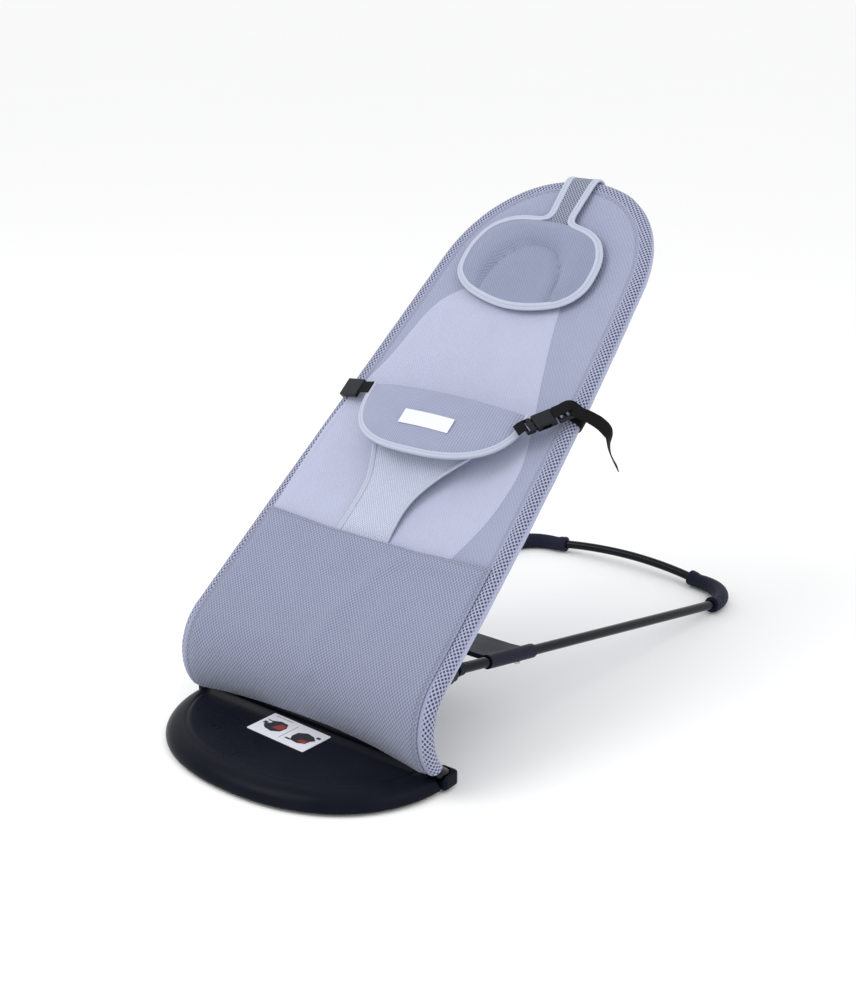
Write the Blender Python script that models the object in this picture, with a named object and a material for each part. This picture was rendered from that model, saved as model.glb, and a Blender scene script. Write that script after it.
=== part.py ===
"""Folding baby bouncer: a bent tube seat frame on a D-shaped front plate, a hinged rear base frame,
a drop-in support stay, and a mesh cover with head pillow and belly harness.

Metres, +Z up. The origin is on the floor, on the centre line, under the line where the seat cover
meets the front plate. +Y runs towards the head end, +X is the side with the buckle.

Places on the seat are given as (x, s, h): x across, s along the seat tubes from the front plate,
h above the plane through the tubes' centre lines. Places on the base frame are given as (x, d, h):
d along the base tubes from the fold hinge, h above the plane through their centre lines.
"""
import math

import bmesh
import bpy
from mathutils import Matrix, Vector

GAP = 0.0003

# Seat frame, side view
FOOT_Z = 0.0183
START_HEADING = math.radians(146.8)
BEND_RADIUS = 0.0676
INCLINE = math.radians(37.8)
BOW = 0.09
BEND_LENGTH = BEND_RADIUS * (START_HEADING - INCLINE)

# Seat frame, plan
TUBE_RADIUS = 0.008
TUBE_WALL = 0.0012
FOOT_X = 0.1885
HEAD_X = 0.1478
BULGE = 0.0058
ARCH_START = 0.7087
ARCH_END = 0.8565
ARCH_POWER = 2.225
ARCH_STEPS = 22
ARCH_STEP = math.pi / ARCH_STEPS
TUBE_FIRST_S = -0.010
TUBE_JOINT_S = 0.56
PLUG_LENGTH = 0.03
PLUG_RADIUS = 0.0064

# Front plate
PLATE_HALF_WIDTH = 0.194
PLATE_DEPTH = 0.162
PLATE_POWER = 2.2
PLATE_BOTTOM = 0.0028
PLATE_TOP = 0.0243
PLATE_REAR_Y = 0.034
PLATE_REAR_HALF_WIDTH = 0.1752
PLATE_STEP_Y = -0.0125
SOCKET_SIZE = Vector((0.0235, 0.0245, 0.0200))
SOCKET_Y = 0.00225

# Base frame
HINGE_Y = 0.032
BASE_FRONT_Y = 0.10
BASE_FRONT_X = 0.1676
BASE_FRONT_Z = 0.1134
BASE_REAR_X = 0.1866
BASE_REAR_Y = 0.7003
CORNER_RADIUS = 0.059
CROSSBAR_BOW = 0.0115
CROSSBAR_RISE = 0.0071
CROSSBAR_RADIUS = 0.0062
BASE_TUBE_RADIUS = 0.0064
BASE_PLUG_RADIUS = 0.0046
SLEEVE_RADIUS = 0.0115
SLEEVE_FRONT_Y = 0.628
SLEEVE_END_X = 0.110
BASE_SLOPE = (BASE_FRONT_Z - SLEEVE_RADIUS) / (BASE_REAR_Y - CORNER_RADIUS - BASE_FRONT_Y)
BASE_DROP = math.atan(BASE_SLOPE)
HINGE_Z = BASE_FRONT_Z + BASE_SLOPE * (BASE_FRONT_Y - HINGE_Y)
PIN_RADIUS = 0.003

# Support stay and the rack that holds its foot
STAY_S = 0.43
STAY_H = -0.0125
STAY_RADIUS = 0.003
STAY_PIVOT_X = 0.1585
STAY_LEG_X = 0.1455
STAY_FOOT_X = 0.078
FOOT_D = 0.1465
FOOT_H = 0.0112
FOOT_SLEEVE_RADIUS = 0.0048
NOTCH_PITCH = 0.022
RACK_HALF_WIDTH = 0.062

# Soft parts
CLOTH = 0.0011
CLOTH_H = 0.0091
SAG = 0.010
COVER_START_S = 0.022
COVER_CORNER_STEP = 7
POCKET_TOP_S = 0.28
WEBBING_WIDTH = 0.020
WEBBING = 0.0014
SLIDER_S = 0.4725

X, Y, Z = Vector((1, 0, 0)), Vector((0, 1, 0)), Vector((0, 0, 1))


# ---- scene, materials and mesh helpers -------------------------------------------------------

def clear_scene():
    for item in list(bpy.data.objects):
        bpy.data.objects.remove(item, do_unlink=True)


def material(name, colour, roughness, metallic=0.0):
    made = bpy.data.materials.get(name)
    if made:
        return made
    made = bpy.data.materials.new(name)
    made.use_nodes = True
    shader = made.node_tree.nodes["Principled BSDF"]
    shader.inputs["Base Color"].default_value = (*colour, 1.0)
    shader.inputs["Roughness"].default_value = roughness
    shader.inputs["Metallic"].default_value = metallic
    return made


def black_paint():
    return material("black_paint", (0.012, 0.012, 0.014), 0.28, 0.3)


def black_plastic():
    return material("black_plastic", (0.016, 0.017, 0.022), 0.42)


def slate_plastic():
    return material("slate_plastic", (0.045, 0.05, 0.07), 0.5)


def slate_rubber():
    return material("slate_rubber", (0.03, 0.034, 0.045), 0.7)


def steel():
    return material("steel", (0.45, 0.45, 0.46), 0.35, 1.0)


def grey_mesh():
    return material("grey_mesh", (0.40, 0.42, 0.60), 0.85)


def light_mesh():
    return material("light_mesh", (0.66, 0.67, 0.84), 0.85)


def black_webbing():
    return material("black_webbing", (0.014, 0.014, 0.017), 0.8)


def white_label():
    return material("white_label", (0.8, 0.8, 0.8), 0.5)


def add(name, mesh_data, look, origin=None):
    """Name a bmesh, close it into an object, and put the object's origin at a world point."""
    bmesh.ops.recalc_face_normals(mesh_data, faces=mesh_data.faces)
    origin = Vector((0, 0, 0)) if origin is None else origin
    bmesh.ops.translate(mesh_data, verts=mesh_data.verts, vec=-origin)
    mesh = bpy.data.meshes.new(name)
    mesh_data.to_mesh(mesh)
    mesh_data.free()
    mesh.shade_smooth()
    mesh.set_sharp_from_angle(angle=math.radians(40))
    mesh.materials.append(look)
    made = bpy.data.objects.new(name, mesh)
    made.location = origin
    bpy.context.scene.collection.objects.link(made)
    return made


def boolean(target, tool, operation):
    """Combine target with tool, keep the result as target's mesh, and drop the tool."""
    bpy.context.view_layer.update()
    step = target.modifiers.new("step", "BOOLEAN")
    step.object = tool
    step.operation = operation
    step.solver = "EXACT"
    bpy.context.view_layer.update()
    result = bpy.data.meshes.new_from_object(target.evaluated_get(bpy.context.evaluated_depsgraph_get()))
    target.modifiers.remove(step)
    target.data = result
    bpy.data.objects.remove(tool, do_unlink=True)
    return target


def cut(target, tool):
    return boolean(target, tool, "DIFFERENCE")


def join(target, tool):
    return boolean(target, tool, "UNION")


def mirror(right):
    """Make the left twin of a right-hand object."""
    mesh = right.data.copy()
    shape = bmesh.new()
    shape.from_mesh(mesh)
    bmesh.ops.scale(shape, verts=shape.verts, vec=(-1, 1, 1))
    bmesh.ops.reverse_faces(shape, faces=shape.faces)
    shape.to_mesh(mesh)
    shape.free()
    left = bpy.data.objects.new(right.name.replace("right", "left"), mesh)
    mesh.name = left.name
    left.location = (-right.location.x, right.location.y, right.location.z)
    bpy.context.scene.collection.objects.link(left)
    return left


def ring(shape, centre, first, second, radius, sides):
    points = []
    for k in range(sides):
        angle = 2 * math.pi * k / sides
        points.append(shape.verts.new(centre + radius * (math.cos(angle) * first + math.sin(angle) * second)))
    return points


def skin(shape, one, two, closed=True):
    """Join two rows of vertices with quads."""
    count = len(one)
    for k in range(count if closed else count - 1):
        nxt = (k + 1) % count
        shape.faces.new((one[k], one[nxt], two[nxt], two[k]))


def sweep(path, outer, inner=None, up=Z, sides=10):
    """Round bar or tube along a path. outer, inner and up are one value, or one per path point."""
    shape = bmesh.new()
    count = len(path)
    outer = outer if isinstance(outer, list) else [outer] * count
    inner = inner if isinstance(inner, list) or inner is None else [inner] * count
    up = up if isinstance(up, list) else [up] * count
    skins = []
    inner_skins = []
    for k, centre in enumerate(path):
        along = (path[min(k + 1, count - 1)] - path[max(k - 1, 0)]).normalized()
        first = (up[k] - up[k].dot(along) * along).normalized()
        second = along.cross(first)
        skins.append(ring(shape, centre, first, second, outer[k], sides))
        if inner:
            inner_skins.append(ring(shape, centre, first, second, inner[k], sides))
    for one, two in zip(skins, skins[1:]):
        skin(shape, one, two)
    if inner:
        for one, two in zip(inner_skins, inner_skins[1:]):
            skin(shape, one, two)
        skin(shape, skins[0], inner_skins[0])
        skin(shape, skins[-1], inner_skins[-1])
    else:
        shape.faces.new(skins[0])
        shape.faces.new(skins[-1])
    return shape


def stepped(path, radii):
    """Double the points of a path where its radius steps: radii holds (last index, radius) pairs."""
    points, values = [], []
    start = 0
    for last, radius in radii:
        for k in range(start, last + 1):
            points.append(path[k])
            values.append(radius)
        start = last
    return points, values


def rod(start, end, radius, sides=12):
    up = Z if abs((end - start).normalized().z) < 0.9 else Y
    return sweep([start, end], radius, up=up, sides=sides)


def prism(outline, thickness):
    """Extrude a closed list of points along the vector thickness."""
    shape = bmesh.new()
    low = [shape.verts.new(p) for p in outline]
    high = [shape.verts.new(p + thickness) for p in outline]
    shape.faces.new(low)
    shape.faces.new(high)
    skin(shape, low, high)
    return shape


def block(centre, size, bevel, turn=None):
    """Box with rounded edges, centred on a point and turned by a rotation matrix."""
    shape = bmesh.new()
    bmesh.ops.create_cube(shape, size=1.0)
    bmesh.ops.scale(shape, verts=shape.verts, vec=size)
    if bevel:
        bmesh.ops.bevel(shape, geom=shape.edges[:], offset=bevel, segments=3, profile=0.5, affect="EDGES")
    if turn:
        bmesh.ops.rotate(shape, verts=shape.verts, matrix=turn)
    bmesh.ops.translate(shape, verts=shape.verts, vec=centre)
    return shape


def sheet(columns, rows, place, thickness):
    """Thin closed solid: place(a, b, lift) gives the point at fractions a, b across and along."""
    shape = bmesh.new()
    layers = []
    for lift in (-thickness / 2, thickness / 2):
        layers.append([[shape.verts.new(place(i / columns, j / rows, lift)) for i in range(columns + 1)]
                       for j in range(rows + 1)])
    low, high = layers
    for layer in layers:
        for one, two in zip(layer, layer[1:]):
            skin(shape, one, two, closed=False)
    skin(shape, low[0], high[0], closed=False)
    skin(shape, low[-1], high[-1], closed=False)
    skin(shape, [row[0] for row in low], [row[0] for row in high], closed=False)
    skin(shape, [row[-1] for row in low], [row[-1] for row in high], closed=False)
    return shape


# ---- places on the seat and on the base frame ------------------------------------------------

def profile(s):
    """Side view of the seat tubes' centre line: y, z and heading at the length s."""
    bend_y = BEND_RADIUS * math.sin(START_HEADING)
    bend_z = FOOT_Z - BEND_RADIUS * math.cos(START_HEADING)
    if s < 0:
        return s * math.cos(START_HEADING), FOOT_Z + s * math.sin(START_HEADING), START_HEADING
    if s < BEND_LENGTH:
        heading = START_HEADING - s / BEND_RADIUS
        return bend_y - BEND_RADIUS * math.sin(heading), bend_z + BEND_RADIUS * math.cos(heading), heading
    heading = INCLINE + BOW * (s - BEND_LENGTH)
    y = bend_y - BEND_RADIUS * math.sin(INCLINE) + (math.sin(heading) - math.sin(INCLINE)) / BOW
    z = bend_z + BEND_RADIUS * math.cos(INCLINE) - (math.cos(heading) - math.cos(INCLINE)) / BOW
    return y, z, heading


def seat(x, s, h=0.0):
    y, z, heading = profile(s)
    return Vector((x, y - h * math.sin(heading), z + h * math.cos(heading)))


def seat_up(s):
    heading = profile(s)[2]
    return Vector((0, -math.sin(heading), math.cos(heading)))


def seat_along(s):
    heading = profile(s)[2]
    return Vector((0, math.cos(heading), math.sin(heading)))


def taper(s):
    share = max(s, 0) / ARCH_START
    return FOOT_X + (HEAD_X - FOOT_X) * share + 4 * BULGE * share * (1 - share)


def tube_x(s):
    """Half the distance between the seat tubes' centre lines at the length s."""
    if s <= ARCH_START:
        return taper(s)
    share = min((s - ARCH_START) / (ARCH_END - ARCH_START), 1)
    return taper(s) * (1 - share ** ARCH_POWER) ** (1 / ARCH_POWER)


def arch(angle):
    """Point (x, s) on the head arch: 0 on the right side, pi on the left, pi/2 at the top."""
    share = abs(math.sin(angle)) ** (2 / ARCH_POWER)
    s = ARCH_START + (ARCH_END - ARCH_START) * share
    reach = taper(s) * abs(math.cos(angle)) ** (2 / ARCH_POWER)
    return math.copysign(reach, math.cos(angle)), s


def cloth_h(x, s):
    """Height of the seat cover's middle surface: on the tubes at the sides, sagging between them."""
    across = 1 - min(abs(x) / max(tube_x(s), 0.01), 1) ** 2
    along = 1 - min(s / ARCH_END, 1) ** 8
    at_plate = 0.006 * math.exp(-(s / 0.05) ** 2)
    return CLOTH_H - (SAG + at_plate) * across * along


def on_cloth(x, s, lift):
    return seat(x, s, cloth_h(x, s) + lift)


def base_x(y):
    rate = (BASE_REAR_X - BASE_FRONT_X) / (BASE_REAR_Y - CORNER_RADIUS - BASE_FRONT_Y)
    return BASE_FRONT_X + rate * (y - BASE_FRONT_Y)


def base(x, d, h=0.0):
    y = HINGE_Y + d * math.cos(BASE_DROP) + h * math.sin(BASE_DROP)
    z = HINGE_Z - d * math.sin(BASE_DROP) + h * math.cos(BASE_DROP)
    return Vector((x, y, z))


def base_tube_point(d):
    """Point on the right base tube's centre line."""
    place = base(0, d)
    return Vector((base_x(place.y), place.y, place.z))


def base_d(y):
    return (y - HINGE_Y) / math.cos(BASE_DROP)


HINGE = Vector((base_x(HINGE_Y), HINGE_Y, HINGE_Z))
STAY_HINGE = seat(0, STAY_S, STAY_H)
STAY_FOOT = base(0, FOOT_D, FOOT_H)


# ---- front plate -----------------------------------------------------------------------------

def plate_outline(z, inset):
    """D outline: a superellipse front, and a narrower straight rear that fits between the sockets."""
    points = []
    side = min(inset, 0.003)
    first = math.asin((-PLATE_STEP_Y / PLATE_DEPTH) ** (PLATE_POWER / 2))
    steps = 32
    for k in range(steps + 1):
        angle = first + (math.pi - 2 * first) * k / steps
        x = (PLATE_HALF_WIDTH - inset) * math.copysign(abs(math.cos(angle)) ** (2 / PLATE_POWER), math.cos(angle))
        y = -(PLATE_DEPTH - inset) * math.sin(angle) ** (2 / PLATE_POWER)
        points.append(Vector((x, min(y, PLATE_STEP_Y - side / 2), z)))
    half, rear = PLATE_REAR_HALF_WIDTH - side / 2, PLATE_REAR_Y - side
    points[0].y = points[-1].y = PLATE_STEP_Y - side / 2
    points.append(Vector((-half, PLATE_STEP_Y - side / 2, z)))
    points.append(Vector((-half, rear, z)))
    points.append(Vector((half, rear, z)))
    points.append(Vector((half, PLATE_STEP_Y - side / 2, z)))
    return points


def front_plate():
    shape = bmesh.new()
    rim = [(PLATE_BOTTOM, 0.003), (0.0045, 0.0), (0.009, 0.0006), (0.0135, 0.003), (0.0175, 0.0068),
           (0.0205, 0.0115), (0.0230, 0.0180), (PLATE_TOP, 0.028)]
    rows = [[shape.verts.new(p) for p in plate_outline(z, inset)] for z, inset in rim]
    for one, two in zip(rows, rows[1:]):
        skin(shape, one, two)
    shape.faces.new(rows[0])
    shape.faces.new(rows[-1])
    add("front_plate", shape, black_plastic())
    bar = block(Vector((0, -0.0075, PLATE_TOP + GAP + 0.0016)), Vector((0.345, 0.006, 0.0032)), 0.0012)
    add("plate_clamp_bar", bar, black_plastic())
    label_turn = Matrix.Rotation(math.radians(-2.4), 3, "Z")
    label = block(Vector((-0.0095, -0.0435, PLATE_TOP + GAP + 0.0003)), Vector((0.094, 0.048, 0.0006)), 0,
                  label_turn)
    add("instruction_label", label, white_label())
    pad_top = PLATE_BOTTOM - GAP
    rear_pad = block(Vector((0, 0, pad_top / 2)), Vector((0.27, 0.030, pad_top)), 0.0006)
    add("plate_pad_rear", rear_pad, slate_rubber())
    spot = Vector((0.095, -0.098, 0))
    pad = rod(spot, spot + Z * pad_top, 0.016, sides=24)
    mirror(add("plate_pad_right", pad, slate_rubber(), spot))


def tube_sockets():
    """End block that holds the foot of a seat tube beside the front plate."""
    centre = Vector((PLATE_REAR_HALF_WIDTH + 0.0008 + SOCKET_SIZE.x / 2, SOCKET_Y, PLATE_BOTTOM + SOCKET_SIZE.z / 2))
    socket = add("tube_socket_right", block(centre, SOCKET_SIZE, 0.004), black_plastic())
    hole = rod(seat(FOOT_X, TUBE_FIRST_S - GAP), seat(FOOT_X, 0) + 0.05 * seat_along(0), TUBE_RADIUS + 5 * GAP)
    cut(socket, add("hole", hole, black_plastic()))
    mirror(socket)


# ---- seat tubes ------------------------------------------------------------------------------

def button_hole(radius, low, high):
    s = TUBE_JOINT_S - PLUG_LENGTH / 2
    return rod(seat(tube_x(s), s, low), seat(tube_x(s), s, high), radius, sides=10)


def lower_seat_tubes():
    bend_steps = 14
    lengths = [TUBE_FIRST_S] + [BEND_LENGTH * k / bend_steps for k in range(bend_steps + 1)]
    straight_steps = 6
    lengths += [BEND_LENGTH + (TUBE_JOINT_S - BEND_LENGTH) * k / straight_steps for k in range(1, straight_steps + 1)]
    path = [seat(tube_x(s), s) for s in lengths]
    shape = sweep(path, TUBE_RADIUS, TUBE_RADIUS - TUBE_WALL, up=X)
    tube = add("lower_seat_tube_right", shape, black_paint())
    cut(tube, add("hole", button_hole(0.0029, -0.012, -0.002), black_paint()))
    mirror(tube)


def head_tube():
    side = [TUBE_JOINT_S - PLUG_LENGTH, TUBE_JOINT_S + GAP, 0.635]
    plan = [(tube_x(s), s) for s in side]
    plan += [arch(ARCH_STEP * k) for k in range(ARCH_STEPS + 1)]
    plan += [(-tube_x(s), s) for s in reversed(side)]
    path = [seat(x, s) for x, s in plan]
    up = [seat_up(s) for x, s in plan]
    last = len(path) - 1
    points, radii = stepped(path, [(1, PLUG_RADIUS), (last - 1, TUBE_RADIUS), (last, PLUG_RADIUS)])
    ups = stepped(up, [(1, 0), (last - 1, 0), (last, 0)])[0]
    # the shoulder's two rings sit at one place: move the plug's ring back by a hair
    points[1] = points[1] + 0.00005 * (points[0] - points[1]).normalized()
    points[-2] = points[-2] + 0.00005 * (points[-1] - points[-2]).normalized()
    tube = add("head_tube", sweep(points, radii, PLUG_RADIUS - 0.001, up=ups), black_paint())
    for sign in (1, -1):
        hole = button_hole(0.0029, -0.012, -0.002)
        bmesh.ops.scale(hole, verts=hole.verts, vec=(sign, 1, 1))
        cut(tube, add("hole", hole, black_paint()))


def tube_buttons():
    """Spring buttons that lock the head tube into the lower tubes."""
    mirror(add("tube_button_right", button_hole(0.0025, -0.0092, -0.0045), steel()))


# ---- fold hinge ------------------------------------------------------------------------------

def saddle(s, half_length, thickness=0.003):
    """Shell under the inner lower side of the right seat tube."""
    centre = seat(tube_x(s), s)
    up, along = seat_up(s), seat_along(s)
    near, far = TUBE_RADIUS + GAP, TUBE_RADIUS + GAP + thickness
    outline = []
    steps = 9
    for radius, order in ((near, range(steps + 1)), (far, range(steps, -1, -1))):
        for k in order:
            angle = math.radians(172 + 118 * k / steps)
            outline.append(centre - half_length * along + radius * (math.cos(angle) * up + math.sin(angle) * X))
    return prism(outline, 2 * half_length * along)


def tube_bore(s):
    """Cutter that clears the right seat tube around the length s."""
    low, high = s - 0.03, s + 0.03
    return rod(seat(tube_x(low), low), seat(tube_x(high), high), TUBE_RADIUS + 1.5 * GAP)


def hinge_s():
    """Length along the seat at which the fold hinge hangs below the tube."""
    y0, z0, heading = profile(BEND_LENGTH)
    return BEND_LENGTH + (HINGE.y - y0) * math.cos(heading) + (HINGE.z - z0) * math.sin(heading)


def seat_brackets():
    s = hinge_s()
    bracket = add("hinge_bracket_right", saddle(s, 0.019), slate_plastic())
    ear_x = 0.1713
    centre = Vector((ear_x, HINGE.y, HINGE.z))
    up, along = seat_up(s), seat_along(s)
    outline = []
    steps = 14
    for k in range(steps + 1):
        angle = math.pi * k / steps
        outline.append(centre - 0.0115 * (math.cos(angle) * along + math.sin(angle) * up))
    top = 0.0215
    outline.append(centre + 0.0165 * along + top * up)
    outline.append(centre - 0.0165 * along + top * up)
    ear = add("ear", prism(outline, 0.0037 * X), slate_plastic())
    join(bracket, ear)
    hole = rod(centre - 0.01 * X, centre + 0.01 * X, PIN_RADIUS + GAP)
    cut(bracket, add("hole", hole, slate_plastic()))
    cut(bracket, add("bore", tube_bore(s), slate_plastic()))
    mirror(bracket)


def knuckles():
    """End fitting on the base tube: a plug, a collar and an eye for the hinge pin."""
    eye = rod(HINGE - 0.0055 * X, HINGE + 0.0055 * X, 0.0115, sides=20)
    knuckle = add("base_knuckle_right", eye, slate_plastic())
    turn = Matrix.Rotation(-BASE_DROP, 3, "X")
    neck = block(base_tube_point(0.012), Vector((0.0108, 0.024, 0.014)), 0, turn)
    join(knuckle, add("neck", neck, slate_plastic()))
    collar = rod(base_tube_point(0.0205), base_tube_point(0.0297), 0.0080)
    join(knuckle, add("collar", collar, slate_plastic()))
    plug = rod(base_tube_point(0.02), base_tube_point(0.058), BASE_PLUG_RADIUS)
    join(knuckle, add("plug", plug, slate_plastic()))
    cut(knuckle, add("hole", rod(HINGE - 0.02 * X, HINGE + 0.02 * X, PIN_RADIUS + GAP), slate_plastic()))
    mirror(knuckle)


def hinge_pins():
    inner = HINGE - 0.0058 * X - GAP * X
    path = [inner - 0.0025 * X, inner - 0.00005 * X, inner, Vector((0.178, HINGE.y, HINGE.z))]
    pin = sweep(path, [0.0055, 0.0055, PIN_RADIUS, PIN_RADIUS], sides=12)
    mirror(add("hinge_pin_right", pin, steel(), HINGE))
    start = Vector((0.1753, HINGE.y, HINGE.z))
    cap = add("hinge_cap_right", rod(start, start + 0.0055 * X, 0.0062), black_plastic())
    cut(cap, add("hole", rod(start - 0.002 * X, start + 0.0032 * X, PIN_RADIUS + GAP), black_plastic()))
    mirror(cap)


# ---- base frame ------------------------------------------------------------------------------

def base_path():
    """Centre line of the base loop from the right side tube's rear end to the left one's."""
    half = []
    plug_y = 0.606
    corner_y = BASE_REAR_Y - CORNER_RADIUS
    for y in (plug_y, SLEEVE_FRONT_Y, 0.6355, corner_y):
        place = base_tube_point(base_d(y))
        half.append(place)
    steps = 8
    for k in range(1, steps + 1):
        angle = math.pi / 2 * k / steps
        half.append(Vector((BASE_REAR_X - CORNER_RADIUS * (1 - math.cos(angle)),
                            corner_y + CORNER_RADIUS * math.sin(angle), SLEEVE_RADIUS)))
    span = BASE_REAR_X - CORNER_RADIUS
    for x in (SLEEVE_END_X, 0.083, 0.055, 0.028, 0.0):
        rise = 1 - (x / span) ** 2
        half.append(Vector((x, BASE_REAR_Y + CROSSBAR_BOW * rise, SLEEVE_RADIUS + CROSSBAR_RISE * rise)))
    other = [Vector((-p.x, p.y, p.z)) for p in reversed(half[:-1])]
    return half + other, len(half)


def base_frame():
    end = base_tube_point(base_d(0.6345))
    wall = sweep([base_tube_point(0.030), end], BASE_TUBE_RADIUS, BASE_TUBE_RADIUS - TUBE_WALL, sides=12)
    tube = add("base_tube_right", wall, black_paint())
    cut(tube, add("hole", screw_shape(0.0021, -0.012, -0.004), black_paint()))
    mirror(tube)
    path, half = base_path()
    last = len(path) - 1
    points, radii = stepped(path, [(2, BASE_PLUG_RADIUS), (last - 2, CROSSBAR_RADIUS), (last, BASE_PLUG_RADIUS)])
    # the shoulder's two rings sit at one place: move the plug's ring back by a hair
    points[2] = points[2] + 0.00005 * (points[1] - points[2]).normalized()
    points[-3] = points[-3] + 0.00005 * (points[-2] - points[-3]).normalized()
    add("rear_crossbar", sweep(points, radii, BASE_PLUG_RADIUS - 0.001), black_paint())
    bend = path[1:half - 4]
    wide, narrow = BASE_TUBE_RADIUS + 1.5 * GAP, CROSSBAR_RADIUS + 1.5 * GAP
    inner = [wide] * 3 + [narrow] * (len(bend) - 3)
    outer = [SLEEVE_RADIUS] * len(bend)
    mirror(add("corner_sleeve_right", sweep(bend, outer, inner, sides=12), slate_rubber()))


def screw_shape(radius, low, high):
    d = base_d(0.170)
    place = base_tube_point(d)
    down = base(0, d, -1) - base(0, d, 0)
    return rod(place - low * down, place - high * down, radius, sides=8)


def crosspiece():
    """Plate between the base tubes, with a sleeve on each and the rack for the stay's foot."""
    piece = add("crosspiece", rack(), slate_plastic())
    first, last = 0.0885, 0.153
    plate = [base(0.161, first, -0.003), base(0.161, 0.165, -0.003), base(0.145, 0.161, -0.003),
             base(0.090, 0.161, -0.003), base(0.082, last, -0.003)]
    plate += [Vector((-p.x, p.y, p.z)) for p in reversed(plate)]
    up = base(0, 0, 1) - base(0, 0, 0)
    join(piece, add("plate", prism(plate, 0.006 * up), slate_plastic()))
    ends = (base_d(0.109), base_d(0.197))
    for side in (1, -1):
        path = [base_tube_point(d) for d in ends]
        path = [Vector((side * p.x, p.y, p.z)) for p in path]
        join(piece, add("sleeve", rod(path[0], path[1], 0.0088, sides=16), slate_plastic()))
    for side in (1, -1):
        path = [base_tube_point(d) for d in (0.06, 0.25)]
        path = [Vector((side * p.x, p.y, p.z)) for p in path]
        cut(piece, add("bore", rod(path[0], path[1], BASE_TUBE_RADIUS + 2 * GAP), slate_plastic()))
        hole = screw_shape(0.0021, -0.014, -0.004)
        bmesh.ops.scale(hole, verts=hole.verts, vec=(side, 1, 1))
        cut(piece, add("hole", hole, slate_plastic()))
    screw = sweep([base_tube_point(base_d(0.170)) + h * up for h in (-0.0115, -0.00915, -0.0091, -0.0045)],
                  [0.0036, 0.0036, 0.0017, 0.0017], up=Y, sides=8)
    mirror(add("crosspiece_screw_right", screw, steel()))


def rack():
    """Saw-tooth block: three notches, each with a wall at the front and open to the rear."""
    outline = [(0.0885, -0.003)]
    wall = FOOT_D - FOOT_SLEEVE_RADIUS - GAP
    floor = FOOT_H - FOOT_SLEEVE_RADIUS - GAP
    for step in (2, 1, 0):
        d = wall - step * NOTCH_PITCH
        outline.append((d - 0.0055, 0.0155))
        outline.append((d - 0.0015, 0.0165))
        outline.append((d, 0.0145))
        outline.append((d, floor))
        outline.append((d + 0.0055, floor))
    outline.append((0.153, 0.0035))
    outline.append((0.153, -0.003))
    outline[1] = (outline[1][0] - 0.001, outline[1][1])
    points = [base(-RACK_HALF_WIDTH, d, h) for d, h in outline]
    return prism(points, 2 * RACK_HALF_WIDTH * X)


# ---- support stay ----------------------------------------------------------------------------

def rounded(corners, radius, steps=4):
    """Path through corner points with each inner corner rounded by a curve."""
    path = [corners[0]]
    for before, corner, after in zip(corners, corners[1:], corners[2:]):
        start = corner + radius * (before - corner).normalized()
        end = corner + radius * (after - corner).normalized()
        for k in range(steps + 1):
            t = k / steps
            path.append((1 - t) ** 2 * start + 2 * t * (1 - t) * corner + t ** 2 * end)
    path.append(corners[-1])
    return path


def support_stay():
    half = [STAY_HINGE + STAY_PIVOT_X * X, STAY_HINGE + STAY_LEG_X * X, STAY_FOOT + STAY_FOOT_X * X]
    corners = half + [Vector((-p.x, p.y, p.z)) for p in reversed(half)]
    path = rounded(corners, 0.007)
    facing = (STAY_HINGE - STAY_FOOT).cross(X).normalized()
    add("support_stay", sweep(path, STAY_RADIUS, up=facing, sides=8), black_paint(), STAY_HINGE)
    ends = [STAY_FOOT - 0.05 * X, STAY_FOOT + 0.05 * X]
    sleeve = sweep(ends, FOOT_SLEEVE_RADIUS, STAY_RADIUS + 2 * GAP)
    add("stay_foot_sleeve", sleeve, slate_rubber(), STAY_FOOT)


def stay_clips():
    clip = add("stay_clip_right", saddle(STAY_S, 0.012), slate_plastic())
    low, high = 0.1500, 0.1585
    turn = Matrix.Rotation(profile(STAY_S)[2], 3, "X")
    boss = block(seat((low + high) / 2, STAY_S, STAY_H + 0.001), Vector((high - low, 0.014, 0.012)), 0.001, turn)
    join(clip, add("boss", boss, slate_plastic()))
    arm = block(seat(0.160, STAY_S, STAY_H + 0.005), Vector((0.008, 0.014, 0.005)), 0, turn)
    join(clip, add("arm", arm, slate_plastic()))
    hole_end = seat(STAY_PIVOT_X + 2 * GAP, STAY_S, STAY_H)
    hole = rod(seat(low - 0.01, STAY_S, STAY_H), hole_end, STAY_RADIUS + 2 * GAP)
    cut(clip, add("hole", hole, slate_plastic()))
    cut(clip, add("bore", tube_bore(STAY_S), slate_plastic()))
    mirror(clip)


# ---- cover and panels ------------------------------------------------------------------------

def cover_rows():
    """Lengths s of the cover's rows up to the corner where the head row takes over."""
    bend_steps, straight_steps = 11, 7
    rows = [COVER_START_S + (BEND_LENGTH - COVER_START_S) * k / bend_steps for k in range(bend_steps + 1)]
    rows += [BEND_LENGTH + (ARCH_START - BEND_LENGTH) * k / straight_steps for k in range(1, straight_steps + 1)]
    rows += [arch(ARCH_STEP * k)[1] for k in range(1, COVER_CORNER_STEP + 1)]
    return rows


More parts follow.
